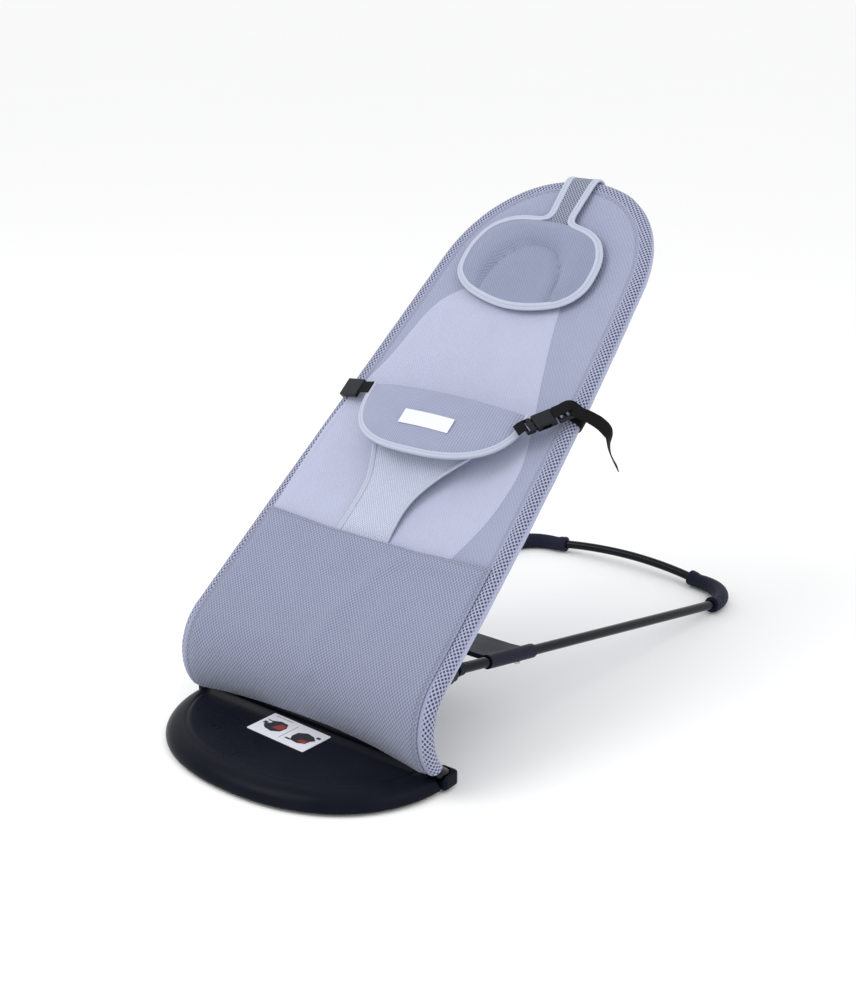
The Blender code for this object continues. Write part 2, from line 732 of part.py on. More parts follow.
def seat_cover():
    """Mesh tube cover: a sagging sheet with its rim wrapped round the outside of the tubes."""
    rows = cover_rows()
    columns = ARCH_STEPS - 2 * COVER_CORNER_STEP
    top = [arch(math.pi - ARCH_STEP * (COVER_CORNER_STEP + i)) for i in range(columns + 1)]

    def plan(i, j):
        """Blend the side edges with the head row, in plan."""
        a, b = i / columns, (rows[j] - rows[0]) / (rows[-1] - rows[0])
        side_x = (2 * a - 1) * tube_x(rows[j])
        top_x, top_s = top[i]
        lift = top_s - rows[-1]
        blend = b ** 6
        return side_x + blend * (top_x - (2 * a - 1) * tube_x(rows[-1])), rows[j] + blend * lift

    shape = bmesh.new()
    layers = []
    wrap_angles = [math.radians(24 * m) for m in range(1, 7)]
    stations = [(0, j) for j in range(len(rows))]
    stations += [(i, len(rows) - 1) for i in range(1, columns)]
    stations += [(columns, j) for j in reversed(range(len(rows)))]
    centres = [plan(i, j) for i, j in stations]
    for lift in (-CLOTH / 2, CLOTH / 2):
        grid = [[shape.verts.new(on_cloth(*plan(i, j), lift)) for i in range(columns + 1)]
                for j in range(len(rows))]
        wraps = []
        for k, (x, s) in enumerate(centres):
            before, after = centres[max(k - 1, 0)], centres[min(k + 1, len(centres) - 1)]
            run = Vector((after[0] - before[0], after[1] - before[1])).normalized()
            outward = -run.y * X + run.x * seat_along(s)
            column = [grid[stations[k][1]][stations[k][0]]]
            for angle in wrap_angles:
                reach = (CLOTH_H + lift) * (math.cos(angle) * seat_up(s) + math.sin(angle) * outward)
                column.append(shape.verts.new(seat(x, s) + reach))
            wraps.append(column)
        for one, two in zip(grid, grid[1:]):
            skin(shape, one, two, closed=False)
        for one, two in zip(wraps, wraps[1:]):
            skin(shape, one, two, closed=False)
        rim = wraps[0][::-1] + grid[0][1:-1] + wraps[-1]
        rim += [column[-1] for column in reversed(wraps[1:-1])]
        layers.append(rim)
    skin(shape, layers[0], layers[1])
    add("seat_cover", shape, grey_mesh())


def panels():
    lift = CLOTH + 0.0008

    def pocket(a, b, depth):
        s = 0.03 + (POCKET_TOP_S - 0.03) * b
        return on_cloth((2 * a - 1) * (tube_x(s) - 0.003), s, lift + depth)

    add("foot_panel", sheet(8, 14, pocket, CLOTH), grey_mesh())

    outline = ((0.284, -0.171, 0.112), (0.340, -0.171, 0.131), (0.400, -0.170, 0.136), (0.440, -0.167, 0.130),
               (0.500, -0.152, 0.110), (0.560, -0.138, 0.090), (0.620, -0.127, 0.071), (0.660, -0.101, 0.060),
               (0.680, -0.060, 0.040))

    def centre(a, b, depth):
        s, left, right = outline[round(b * (len(outline) - 1))]
        return on_cloth(left + (right - left) * a, s, lift + depth)

    add("centre_panel", sheet(8, len(outline) - 1, centre, CLOTH), light_mesh())


# ---- head pillow -----------------------------------------------------------------------------

def pillow_outline(angle):
    """Onion outline about its centre: wide lobes below, shoulders drawn in above."""
    x = 0.105 * math.copysign(abs(math.cos(angle)) ** 0.8, math.cos(angle))
    s = 0.070 * math.copysign(abs(math.sin(angle)) ** 0.85, math.sin(angle))
    return x * (1 - 0.14 * max(s / 0.070, 0)), s


def head_pillow():
    shape = bmesh.new()
    centre_x, centre_s = -0.010, 0.7215
    steps = 28
    rings = []
    for share, lift in ((0.90, 0.0028), (0.99, 0.0045), (1.0, 0.008), (0.97, 0.013), (0.86, 0.0175), (0.60, 0.020),
                        (0.30, 0.021)):
        row = []
        for k in range(steps):
            x, s = pillow_outline(2 * math.pi * k / steps)
            row.append(shape.verts.new(on_cloth(centre_x + share * x, centre_s + share * s, lift + CLOTH)))
        rings.append(row)
    for one, two in zip(rings, rings[1:]):
        skin(shape, one, two)
    shape.faces.new(rings[0])
    shape.faces.new(rings[-1])
    add("head_pillow", shape, grey_mesh())

    first, tube_top = 0.795, ARCH_END
    proud = CLOTH_H + CLOTH + 0.0045

    def strap(a, b, depth):
        """Straight up from the pillow, over the head tube and down behind it."""
        x = -0.004 + (2 * a - 1) * (0.020 + 0.004 * min(b / 0.4, 1))
        reach = proud + depth
        if b < 0.4:
            return seat(x, first + (tube_top - first) * b / 0.4, reach)
        if b < 0.75:
            angle = math.pi * (b - 0.4) / 0.35
            return seat(x, tube_top) + reach * (math.cos(angle) * seat_up(tube_top)
                                                + math.sin(angle) * seat_along(tube_top))
        return seat(x, tube_top - 0.055 * (b - 0.75) / 0.25, -reach)

    add("pillow_strap", sheet(4, 20, strap, 0.001), light_mesh())


# ---- harness ---------------------------------------------------------------------------------

def belly_h(x):
    return 0.024 + 0.022 * (1 - (x / 0.125) ** 2)


def belly_pad():
    top_s, depth = 0.476, 0.088

    def place(a, b, lift):
        x = (2 * a - 1) * 0.120
        low = depth * (1 - abs(x / 0.1245) ** 2.4) ** (1 / 2.4)
        return seat(x, top_s - low * b, belly_h(x) + lift)

    add("belly_pad", sheet(16, 5, place, 0.006), grey_mesh())

    def label(a, b, lift):
        x = 0.004 + (a - 0.5) * 0.080
        return seat(x, 0.434 + (b - 0.5) * 0.020, belly_h(x) + 0.0038 + lift)

    add("care_label", sheet(8, 1, label, 0.0005), white_label())

    def crotch(a, b, lift):
        s, left, right = crotch_row(b)
        x = left + (right - left) * a
        rise = CLOTH + 0.0025 + 0.0225 * b ** 1.4
        return seat(x, s, cloth_h(x, s) + rise + lift)

    add("crotch_strap", sheet(6, len(CROTCH_OUTLINE) - 1, crotch, 0.0011), light_mesh())


# (s, left edge, right edge) of the crotch strap's rows, from the pocket to the belly pad
CROTCH_OUTLINE = ((0.262, -0.0650, 0.0145), (0.280, -0.0630, 0.0143), (0.300, -0.0600, 0.0140),
                  (0.320, -0.0580, 0.0150), (0.338, -0.0572, 0.0195), (0.354, -0.0578, 0.0272),
                  (0.376, -0.0635, 0.0430), (0.395, -0.0700, 0.0610), (0.408, -0.0745, 0.0740),
                  (0.425, -0.0780, 0.0800))


def crotch_row(b):
    place = b * (len(CROTCH_OUTLINE) - 1)
    k = min(int(place), len(CROTCH_OUTLINE) - 2)
    return [one + (two - one) * (place - k) for one, two in zip(CROTCH_OUTLINE[k], CROTCH_OUTLINE[k + 1])]


def ribbon(path, facing, width, thickness):
    """Flat strap: path points, with facing giving the normal at each."""
    def place(a, b, lift):
        k = round(b * (len(path) - 1))
        along = (path[min(k + 1, len(path) - 1)] - path[max(k - 1, 0)]).normalized()
        across = along.cross(facing[k]).normalized()
        normal = across.cross(along).normalized()
        return path[k] + (a - 0.5) * width * across + lift * normal
    return sheet(2, len(path) - 1, place, thickness)


def buckle_frame():
    """Centre, direction and normal of the buckle on the right: it lies from the pad to the tube."""
    start = seat(0.1265, 0.455, 0.0352)
    end = seat(0.159, 0.5005, 0.021)
    along = (end - start).normalized()
    across = along.cross(seat_up(0.48)).normalized()
    return start, along, across, across.cross(along).normalized()


def in_buckle(u, v, w):
    start, along, across, up = buckle_frame()
    return start + u * along - v * across + w * up


def buckle_block(name, low, high, bevel, look):
    start, along, across, up = buckle_frame()
    turn = Matrix((along, -across, up)).transposed()
    centre = [(a + b) / 2 for a, b in zip(low, high)]
    size = Vector([b - a for a, b in zip(low, high)])
    return add(name, block(in_buckle(*centre), size, bevel, turn), look)


def harness():
    black = black_plastic()
    socket = buckle_block("buckle_socket", (0.018, -0.0125, -0.004), (0.044, 0.0125, 0.004), 0.002, black)
    cut(socket, buckle_block("mouth", (0.010, -0.0102, -0.0026), (0.040, 0.0102, 0.0026), 0, black))
    for side in (-1, 1):
        low, high = sorted((side * 0.0090, side * 0.02))
        cut(socket, buckle_block("window", (0.024, low, -0.0026), (0.036, high, 0.0026), 0, black))
    tongue = buckle_block("buckle_tongue", (0.0045, -0.0115, -0.0033), (0.0165, 0.0115, 0.0033), 0.0015, black)
    join(tongue, buckle_block("stem", (0.012, -0.0025, -0.0018), (0.036, 0.0025, 0.0018), 0, black))
    for side in (-1, 1):
        low, high = sorted((side * 0.0070, side * 0.0096))
        join(tongue, buckle_block("prong", (0.012, low, -0.0018), (0.035, high, 0.0018), 0, black))
    cut(tongue, buckle_block("slot", (0.0075, -0.0105, -0.01), (0.0105, 0.0105, 0.01), 0, black))
    lock = buckle_block("ladder_lock", (0.046, -0.0135, -0.003), (0.066, 0.0135, 0.003), 0.0015, black)
    for start in (0.0490, 0.0575):
        cut(lock, buckle_block("slot", (start, -0.0108, -0.01), (start + 0.0050, 0.0108, 0.01), 0, black))


def straps():
    look = black_webbing()
    start, along, across, up = buckle_frame()
    # short webbing from the pad's right end to the tongue
    route = ((-0.0055, 0.0012), (-0.003, 0.0022), (0.0005, 0.0038), (0.0068, 0.0046))
    path = [in_buckle(u, 0, w) for u, w in route]
    add("tongue_webbing", ribbon(path, [up] * 4, 0.018, 0.0012), look)
    # loops that go round the seat tubes, closed below the ladder lock and below the slider
    add("tube_loop_right", tube_loop(1, 0.505, 0.0148, 0.0), look)
    add("tube_loop_left", tube_loop(-1, 0.4735, 0.0144, -27.0), look)
    slider = block(seat(-0.157, SLIDER_S, 0.0190), Vector((0.031, 0.027, 0.006)), 0.0015,
                   Matrix.Rotation(profile(SLIDER_S)[2], 3, "X") @ Matrix.Rotation(math.radians(-10), 3, "Y"))
    add("slider_left", slider, black_plastic())
    path = [seat(x, SLIDER_S, h) for x, h in ((-0.1175, 0.0314), (-0.122, 0.0300), (-0.129, 0.0280), (-0.137, 0.0262))]
    add("slider_webbing", ribbon(path, [seat_up(SLIDER_S)] * 4, 0.018, 0.0012), look)
    # loose tail from the ladder lock over the tube, hanging outside it
    tail = [in_buckle(0.0595, 0, 0.0044), in_buckle(0.068, 0, 0.0050), seat(0.178, 0.504, 0.0215),
            seat(0.190, 0.5055, 0.0125), seat(0.2005, 0.5065, 0.0), seat(0.2065, 0.5045, -0.0135),
            seat(0.208, 0.4950, -0.0245), seat(0.210, 0.4885, -0.0385), seat(0.214, 0.4845, -0.0555)]
    facing = [up, up, (up + 0.3 * X).normalized(), (0.8 * up + 0.6 * X).normalized(), (0.3 * up + X).normalized()]
    add("strap_tail", ribbon(tail, facing + [X] * 4, 0.018, 0.0014), look)


def tube_loop(side, s, root, lean):
    """Webbing hung from a point at the distance root from a seat tube's centre, round the outside of
    the tube and up to the slit in the cover behind it.

    lean is the direction of that point in degrees: 0 is straight up, positive outwards.
    """
    centre = seat(side * tube_x(s), s)
    reach = CLOTH_H + CLOTH + 0.0018
    first = lean + math.degrees(math.acos(reach / root))

    def towards(turn):
        return math.cos(math.radians(turn)) * seat_up(s) + side * math.sin(math.radians(turn)) * X

    count = 10
    turns = [first + (262 - first) * k / count for k in range(count + 1)]
    path = [centre + root * towards(lean)] + [centre + reach * towards(turn) for turn in turns]
    facing = [towards(first)] + [towards(turn) for turn in turns]
    return ribbon(path, facing, WEBBING_WIDTH, WEBBING)


def main():
    clear_scene()
    front_plate()
    tube_sockets()
    lower_seat_tubes()
    head_tube()
    tube_buttons()
    seat_brackets()
    knuckles()
    hinge_pins()
    base_frame()
    crosspiece()
    support_stay()
    stay_clips()
    seat_cover()
    panels()
    head_pillow()
    belly_pad()
    harness()
    straps()


main()
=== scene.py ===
"""Looks of the folding baby bouncer: smooth shapes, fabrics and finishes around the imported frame.

Metres, in the frame of the CAD model. Places on the seat are (x, s, h): across, along the seat tubes
from the front plate, and above the plane of the tubes. Places on the base frame are (x, d, h).
"""
import math

import bmesh
import bpy
from mathutils import Matrix, Vector, noise


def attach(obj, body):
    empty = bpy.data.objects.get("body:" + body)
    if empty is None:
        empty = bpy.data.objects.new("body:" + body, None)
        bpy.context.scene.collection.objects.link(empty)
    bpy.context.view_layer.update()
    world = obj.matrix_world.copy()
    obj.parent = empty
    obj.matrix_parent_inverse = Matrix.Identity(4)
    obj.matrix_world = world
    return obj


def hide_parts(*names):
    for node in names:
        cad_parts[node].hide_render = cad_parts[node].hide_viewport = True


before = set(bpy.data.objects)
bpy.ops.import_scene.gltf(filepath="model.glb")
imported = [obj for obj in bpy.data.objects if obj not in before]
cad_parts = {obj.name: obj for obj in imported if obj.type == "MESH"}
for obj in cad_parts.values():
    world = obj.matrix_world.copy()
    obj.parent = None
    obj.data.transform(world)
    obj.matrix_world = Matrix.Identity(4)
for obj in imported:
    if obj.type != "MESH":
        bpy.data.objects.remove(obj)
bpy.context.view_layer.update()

X, Y, Z = Vector((1, 0, 0)), Vector((0, 1, 0)), Vector((0, 0, 1))

# Seat frame
FOOT_Z = 0.0183
START_HEADING = math.radians(146.8)
BEND_RADIUS = 0.0676
INCLINE = math.radians(37.8)
BOW = 0.09
BEND_LENGTH = BEND_RADIUS * (START_HEADING - INCLINE)
TUBE_RADIUS = 0.008
FOOT_X = 0.1885
HEAD_X = 0.1478
BULGE = 0.0058
ARCH_START = 0.7087
ARCH_END = 0.8565
ARCH_POWER = 2.225
TUBE_FIRST_S = -0.010
TUBE_JOINT_S = 0.56

# Front plate
PLATE_HALF_WIDTH = 0.194
PLATE_DEPTH = 0.162
PLATE_POWER = 2.2
PLATE_BOTTOM = 0.0028
PLATE_TOP = 0.0243
PLATE_REAR_Y = 0.034
PLATE_REAR_HALF_WIDTH = 0.1752
PLATE_STEP_Y = -0.0125

# Base frame
HINGE_Y = 0.032
BASE_FRONT_Y = 0.10
BASE_FRONT_X = 0.1676
BASE_FRONT_Z = 0.1134
BASE_REAR_X = 0.1866
BASE_REAR_Y = 0.7003
CORNER_RADIUS = 0.059
CROSSBAR_BOW = 0.0115
CROSSBAR_RISE = 0.0071
CROSSBAR_RADIUS = 0.0062
BASE_TUBE_RADIUS = 0.0064
SLEEVE_RADIUS = 0.0115
SLEEVE_FRONT_Y = 0.628
SLEEVE_END_X = 0.110
BASE_SLOPE = (BASE_FRONT_Z - SLEEVE_RADIUS) / (BASE_REAR_Y - CORNER_RADIUS - BASE_FRONT_Y)
BASE_DROP = math.atan(BASE_SLOPE)
HINGE_Z = BASE_FRONT_Z + BASE_SLOPE * (BASE_FRONT_Y - HINGE_Y)

# Soft parts
CLOTH = 0.0011
CLOTH_H = 0.0091
SAG = 0.010
COVER_START_S = 0.022
POCKET_TOP_S = 0.28
SLIDER_S = 0.4725
WEBBING = 0.0014
WEBBING_WIDTH = 0.018
LOOP_WIDTH = 0.020


# ---- camera, light and floor

def studio():
    scene = bpy.context.scene
    scene.view_settings.view_transform = "Standard"
    scene.view_settings.look = "None"
    view = bpy.data.cameras.new("camera")
    view.lens = 56.71
    view.sensor_width = 36
    camera = bpy.data.objects.new("camera", view)
    camera.location = (1.1523, -1.2492, 0.9059)
    camera.rotation_euler = (math.radians(90 - 19.482), 0, math.radians(38.282))
    scene.collection.objects.link(camera)
    scene.camera = camera

    world = bpy.data.worlds.new("studio")
    world.use_nodes = True
    world.node_tree.nodes["Background"].inputs["Color"].default_value = (1.0, 1.0, 1.0, 1)
    world.node_tree.nodes["Background"].inputs["Strength"].default_value = 1.0
    scene.world = world

    for name, place, size, power in (("key", (-0.9, -1.1, 2.2), 1.6, 20), ("fill", (1.9, 0.2, 1.7), 1.4, 6)):
        lamp = bpy.data.lights.new(name, "AREA")
        lamp.shape = "DISK"
        lamp.size = size
        lamp.energy = power
        light = bpy.data.objects.new(name, lamp)
        light.location = place
        light.rotation_euler = (Vector((0, 0.3, 0.2)) - light.location).to_track_quat("-Z", "Y").to_euler()
        scene.collection.objects.link(light)

    shape = bmesh.new()
    bmesh.ops.create_grid(shape, x_segments=1, y_segments=1, size=60)
    floor = new_object("floor", shape)
    floor.location.z = -0.0002
    graph = Graph("floor", (0.95, 0.95, 0.95), 0.9, specular=0.0)
    tone = graph.noise(graph.coordinates(), 0.6, 3)
    graph.colour(graph.blend(tone, (0.94, 0.942, 0.946), (0.955, 0.955, 0.957)))
    floor.data.materials.append(graph.material)


# ---- materials

def scaled(colour, factor):
    return tuple(c * factor for c in colour)


class Graph:
    """A material's nodes, wired by short calls. Values are numbers, colours or sockets."""

    def __init__(self, name, colour, roughness, metallic=0.0, specular=0.5, sheen=0.0):
        self.material = bpy.data.materials.new(name)
        self.material.use_nodes = True
        self.tree = self.material.node_tree
        self.shader = self.tree.nodes["Principled BSDF"]
        values = {"Base Color": (*colour, 1), "Roughness": roughness, "Metallic": metallic,
                  "Specular IOR Level": specular, "Sheen Weight": sheen, "Sheen Roughness": 0.5}
        for key, value in values.items():
            self.shader.inputs[key].default_value = value

    def put(self, kind, values, output=0, **settings):
        node = self.tree.nodes.new(kind)
        for key, value in settings.items():
            setattr(node, key, value)
        for key, value in values.items():
            if isinstance(value, bpy.types.NodeSocket):
                self.tree.links.new(value, node.inputs[key])
            elif isinstance(value, tuple) and len(value) == 3 and node.inputs[key].type == "RGBA":
                node.inputs[key].default_value = (*value, 1)
            else:
                node.inputs[key].default_value = value
        return node.outputs[output]

    def math(self, operation, *values):
        return self.put("ShaderNodeMath", dict(enumerate(values)), operation=operation)

    def times(self, one, two):
        return self.math("MULTIPLY", one, two)

    def vector(self, operation, *values):
        output = 1 if operation == "LENGTH" else 0
        return self.put("ShaderNodeVectorMath", dict(enumerate(values)), output=output, operation=operation)

    def blend(self, share, one, two):
        """Mix of two colours."""
        return self.put("ShaderNodeMix", {0: share, 6: one, 7: two}, output=2, data_type="RGBA")

    def ramp(self, value, low, high, to_low=0.0, to_high=1.0):
        """Smooth step from to_low at low to to_high at high."""
        values = {0: value, 1: low, 2: high, 3: to_low, 4: to_high}
        return self.put("ShaderNodeMapRange", values, interpolation_type="SMOOTHSTEP")

    def cloth(self):
        return self.put("ShaderNodeAttribute", {}, output=1, attribute_name="cloth")

    def coordinates(self):
        return self.put("ShaderNodeTexCoord", {}, output="Object")

    def axis(self, vector, name):
        return self.put("ShaderNodeSeparateXYZ", {0: vector}, output=name)

    def noise(self, vector, scale, detail=2.0):
        return self.put("ShaderNodeTexNoise", {"Vector": vector, "Scale": scale, "Detail": detail})

    def colour(self, socket):
        self.tree.links.new(socket, self.shader.inputs["Base Color"])

    def roughness(self, socket):
        self.tree.links.new(socket, self.shader.inputs["Roughness"])

    def bump(self, height, depth):
        normal = self.put("ShaderNodeBump", {"Strength": 1.0, "Distance": depth, "Height": height})
        self.tree.links.new(normal, self.shader.inputs["Normal"])

    def stitching(self, place, seam, pitch, near, far):
        """(1 on the line where cloth's third number is at seam, 1 on each stitch along it, distance)."""
        dash = self.math("FRACT", self.times(self.axis(place, "Y"), 1 / pitch))
        off = self.math("ABSOLUTE", self.math("SUBTRACT", self.axis(place, "Z"), seam))
        return self.ramp(off, near, far, 1.0, 0.0), self.ramp(dash, 0.62, 0.78, 1.0, 0.0), off

    def holes(self, place, pitch, radius, soft, aspect=1.0):
        """Staggered round holes: 1 in a hole, 0 on the thread. pitch is (across, along)."""
        cell = self.vector("MULTIPLY", place, (1 / pitch[0], 1 / pitch[1], 0))
        stretch = (1, aspect * pitch[1] / pitch[0], 0)
        distances = []
        for shift in (0.0, 0.5):
            inside = self.vector("FRACTION", self.vector("ADD", cell, (shift, shift, 0)))
            centred = self.vector("SUBTRACT", inside, (0.5, 0.5, 0))
            distances.append(self.vector("LENGTH", self.vector("MULTIPLY", centred, stretch)))
        nearest = self.math("MINIMUM", *distances)
        return self.ramp(nearest, radius - soft, radius + soft, 1.0, 0.0)


def air_mesh(name, thread, hole, pitch, radius, depth, contrast=1.0, over_tube=None, seam=None, bend_shade=0.0):
    """Knitted spacer mesh. Where it lies over the tube, its holes show over_tube instead of hole."""
    graph = Graph(name, thread, 0.85, specular=0.15, sheen=0.25)
    place = graph.cloth()
    open_ = graph.holes(place, pitch, radius, 0.11, 0.85)
    edge = graph.axis(place, "Z")
    fuzz = graph.noise(place, 1400, 2)
    cloud = graph.noise(place, 26, 3)
    yarn = graph.blend(cloud, scaled(thread, 0.95), scaled(thread, 1.05))
    yarn = graph.blend(graph.ramp(fuzz, 0.3, 0.7, 0.0, 0.35), yarn, scaled(thread, 0.86))
    share = graph.times(open_, contrast)
    inside = hole
    if over_tube:
        # down at the plate the row of open holes lies further out
        out = graph.math("SUBTRACT", edge, graph.ramp(graph.axis(place, "Y"), 0.07, 0.20, 0.0080, 0.0))
        near = graph.ramp(out, -0.0080, -0.0042)
        past = graph.ramp(out, 0.0085, 0.0125, 1.0, 0.0)
        near = graph.times(near, past)
        inside = graph.blend(near, hole, over_tube)
        # round the outer side of the tube the cloth stands off it; painted highlight: the yarn there is lightened,
        # and the yarn over the tube a little less
        rim = graph.ramp(out, 0.0090, 0.0125)
        yarn = graph.blend(graph.times(rim, 0.55), yarn, scaled(thread, 1.45))
        yarn = graph.blend(graph.times(near, 0.4), yarn, scaled(thread, 1.4))
        share = graph.math("ADD", share, graph.times(near, graph.times(open_, 1 - contrast)))
    colour = graph.blend(share, yarn, inside)
    height = graph.math("SUBTRACT", graph.times(fuzz, 0.25), open_)
    if seam is not None:
        line, dash, off = graph.stitching(place, seam, 0.0032, 0.0004, 0.0011)
        groove = graph.ramp(off, 0.0006, 0.0030, 1.0, 0.0)
        # painted seam shadow: the cloth is darkened along the groove beside the seam
        colour = graph.blend(graph.times(groove, 0.34), colour, scaled(thread, 0.45))
        stitch = graph.times(line, dash)
        colour = graph.blend(graph.times(stitch, 0.5), colour, scaled(thread, 1.3))
        height = graph.math("SUBTRACT", height, graph.times(groove, 1.2))
        height = graph.math("ADD", height, graph.times(stitch, 1.6))
    # painted shade: the cloth is darkened towards the low end of the seat, where it turns down round the bend
    if bend_shade:
        low = graph.ramp(graph.axis(place, "Y"), 0.03, 0.23, bend_shade, 0.0)
        colour = graph.blend(low, colour, scaled(thread, 0.3))
    graph.colour(colour)
    graph.bump(height, depth)
    return graph.material


def ribbed(name, thread, gap, pitch, depth):
    """Ribbed mesh: ribs along the seat, with small windows between them."""
    graph = Graph(name, thread, 0.85, specular=0.15, sheen=0.25)
    place = graph.cloth()
    across, along = graph.axis(place, "X"), graph.axis(place, "Y")
    rib = graph.math("SINE", graph.times(across, 2 * math.pi / pitch))
    rung = graph.math("SINE", graph.times(along, 2 * math.pi / (pitch * 0.8)))
    window = graph.times(graph.ramp(rib, -0.1, 0.8), graph.ramp(rung, -0.6, 0.5))
    cloud = graph.noise(place, 30, 3)
    fuzz = graph.noise(place, 1400, 2)
    yarn = graph.blend(cloud, scaled(thread, 0.94), scaled(thread, 1.05))
    graph.colour(graph.blend(graph.times(window, 0.55), yarn, gap))
    graph.bump(graph.math("SUBTRACT", graph.times(fuzz, 0.3), window), depth)
    return graph.material


def tape(name, thread, pitch=0.0011, stitched=None, roughness=0.75, dark=0.82, specular=0.25):
    """Woven tape: cross ribs in the weave, and a stitch line where cloth's third number is at stitched."""
    graph = Graph(name, thread, roughness, specular=specular, sheen=0.15 if specular > 0.2 else 0.0)
    place = graph.cloth()
    across, along = graph.axis(place, "X"), graph.axis(place, "Y")
    warp = graph.math("SINE", graph.times(across, 2 * math.pi / pitch))
    weft = graph.math("SINE", graph.times(along, 2 * math.pi / (pitch * 1.5)))
    weave = graph.times(warp, weft)
    fuzz = graph.noise(place, 900, 3)
    low = scaled(thread, dark)
    colour = graph.blend(graph.ramp(weave, -0.7, 0.7), low, thread)
    colour = graph.blend(graph.ramp(fuzz, 0.35, 0.7, 0.0, 0.4), colour, low)
    height = graph.math("ADD", graph.times(weave, 0.5), graph.times(fuzz, 0.5))
    if stitched is not None:
        line, dash, _ = graph.stitching(place, stitched, 0.0030, 0.0003, 0.0009)
        colour = graph.blend(graph.times(line, 0.35), colour, scaled(thread, 0.55))
        height = graph.math("SUBTRACT", height, graph.times(line, 1.5))
        height = graph.math("ADD", height, graph.times(graph.times(line, dash), 2.2))
    graph.colour(colour)
    graph.bump(height, 0.00018)
    return graph.material


def moulded(name, colour, roughness, grain=0.00008, specular=0.3, wear=0.12):
    """Moulded plastic or rubber with a fine eroded grain and faint handling marks."""
    graph = Graph(name, colour, roughness, specular=specular)
    place = graph.coordinates()
    fine = graph.noise(place, 1600, 3)
    broad = graph.noise(place, 14, 4)
    light = tuple(min(c * (1 + wear * 2) + wear * 0.01, 1) for c in colour)
    graph.colour(graph.blend(graph.ramp(broad, 0.35, 0.75), colour, light))
    graph.roughness(graph.ramp(broad, 0.3, 0.7, roughness - 0.05, roughness + 0.07))
    graph.bump(fine, grain)
    return graph.material


def painted(name, colour, roughness, specular=0.5, metallic=0.0):
    """Powder paint or bare metal: slight orange peel."""
    graph = Graph(name, colour, roughness, specular=specular, metallic=metallic)
    place = graph.coordinates()
    peel = graph.noise(place, 420, 2)
    broad = graph.noise(place, 11, 3)
    graph.colour(graph.blend(broad, scaled(colour, 0.9), scaled(colour, 1.15)))
    graph.roughness(graph.ramp(broad, 0.3, 0.7, roughness - 0.04, roughness + 0.06))
    graph.bump(peel, 0.00006)
    return graph.material


def paper(name, colour, roughness=0.45):
    graph = Graph(name, colour, roughness, specular=0.35)
    fibre = graph.noise(graph.coordinates(), 700, 3)
    graph.colour(graph.blend(fibre, scaled(colour, 0.96), colour))
    graph.bump(fibre, 0.00004)
    return graph.material


# ---- mesh helpers

def bow(value, power):
    """value raised to a power, with its sign kept."""
    return math.copysign(abs(value) ** power, value)


def between(quad, t):
    """Catmull-Rom point at t between the middle two of four points."""
    p0, p1, p2, p3 = quad
    return 0.5 * ((2 * p1) + (p2 - p0) * t + (2 * p0 - 5 * p1 + 4 * p2 - p3) * t * t
                  + (3 * p1 - p0 - 3 * p2 + p3) * t * t * t)


def distance_to(x, s, line):
    """Distance in plan from (x, s) to a line of points."""
    best = 1.0
    for (x0, s0), (x1, s1) in zip(line, line[1:]):
        dx, ds = x1 - x0, s1 - s0
        share = min(max(((x - x0) * dx + (s - s0) * ds) / (dx * dx + ds * ds), 0), 1)
        best = min(best, math.hypot(x - x0 - share * dx, s - s0 - share * ds))
    return best


def new_object(name, shape, angle=40):
    bmesh.ops.recalc_face_normals(shape, faces=shape.faces)
    mesh = bpy.data.meshes.new(name)
    shape.to_mesh(mesh)
    shape.free()
    mesh.shade_smooth()
    mesh.set_sharp_from_angle(angle=math.radians(angle))
    made = bpy.data.objects.new(name, mesh)
    bpy.context.scene.collection.objects.link(made)
    return made


def piece(name, shape, look, slot, *nodes, body="seat_frame", angle=40):
    """Finish a piece: material, CAD body and the CAD nodes that it stands for. slot is not used."""
    made = new_object(name, shape, angle)
    made.data.materials.append(look)
    if nodes:
        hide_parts(*nodes)
    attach(made, body)
    return made


def skin(shape, one, two, closed=True):
    count = len(one)
    for k in range(count if closed else count - 1):
        nxt = (k + 1) % count
        shape.faces.new((one[k], one[nxt], two[nxt], two[k]))


def skinned(shape, rings):
    """Skin from ring to ring, closed with a face at each end."""
    for one, two in zip(rings, rings[1:]):
        skin(shape, one, two)
    shape.faces.new(rings[0])
    shape.faces.new(rings[-1])
    return shape


def cloth_shape():
    shape = bmesh.new()
    return shape, shape.verts.layers.float_vector.new("cloth")


def sheet(across, along, place, weave, thickness):
    """Thin closed solid over the fractions across and along, carrying its weave coordinates."""
    shape, layer = cloth_shape()
    layers = []
    for lift in (-thickness / 2, thickness / 2):
        rows = []
        for b in along:
            row = []
            for a in across:
                vertex = shape.verts.new(place(a, b, lift))
                vertex[layer] = weave(a, b)
                row.append(vertex)
            rows.append(row)
        layers.append(rows)
    low, high = layers
    for rows in layers:
        for one, two in zip(rows, rows[1:]):
            skin(shape, one, two, closed=False)
    skin(shape, low[0], high[0], closed=False)
    skin(shape, low[-1], high[-1], closed=False)
    skin(shape, [row[0] for row in low], [row[0] for row in high], closed=False)
    skin(shape, [row[-1] for row in low], [row[-1] for row in high], closed=False)
    return shape


def steps(count, low=0.0, high=1.0):
    return [low + (high - low) * k / count for k in range(count + 1)]


def rounded_steps(count):
    """Fractions from 0 to 1, closer together near both ends."""
    return [(1 - math.cos(math.pi * k / count)) / 2 for k in range(count + 1)]


def frames(path, up, closed=False):
    """(along, side, up) at each point of a path. up is one vector, or one per point."""
    count = len(path)
    made = []
    for k in range(count):
        if closed:
            before, after = path[k - 1], path[(k + 1) % count]
        else:
            before, after = path[max(k - 1, 0)], path[min(k + 1, count - 1)]
        along = (after - before).normalized()
        high = up[k] if isinstance(up, list) else up
        high = (high - high.dot(along) * along).normalized()
        made.append((along, along.cross(high), high))
    return made


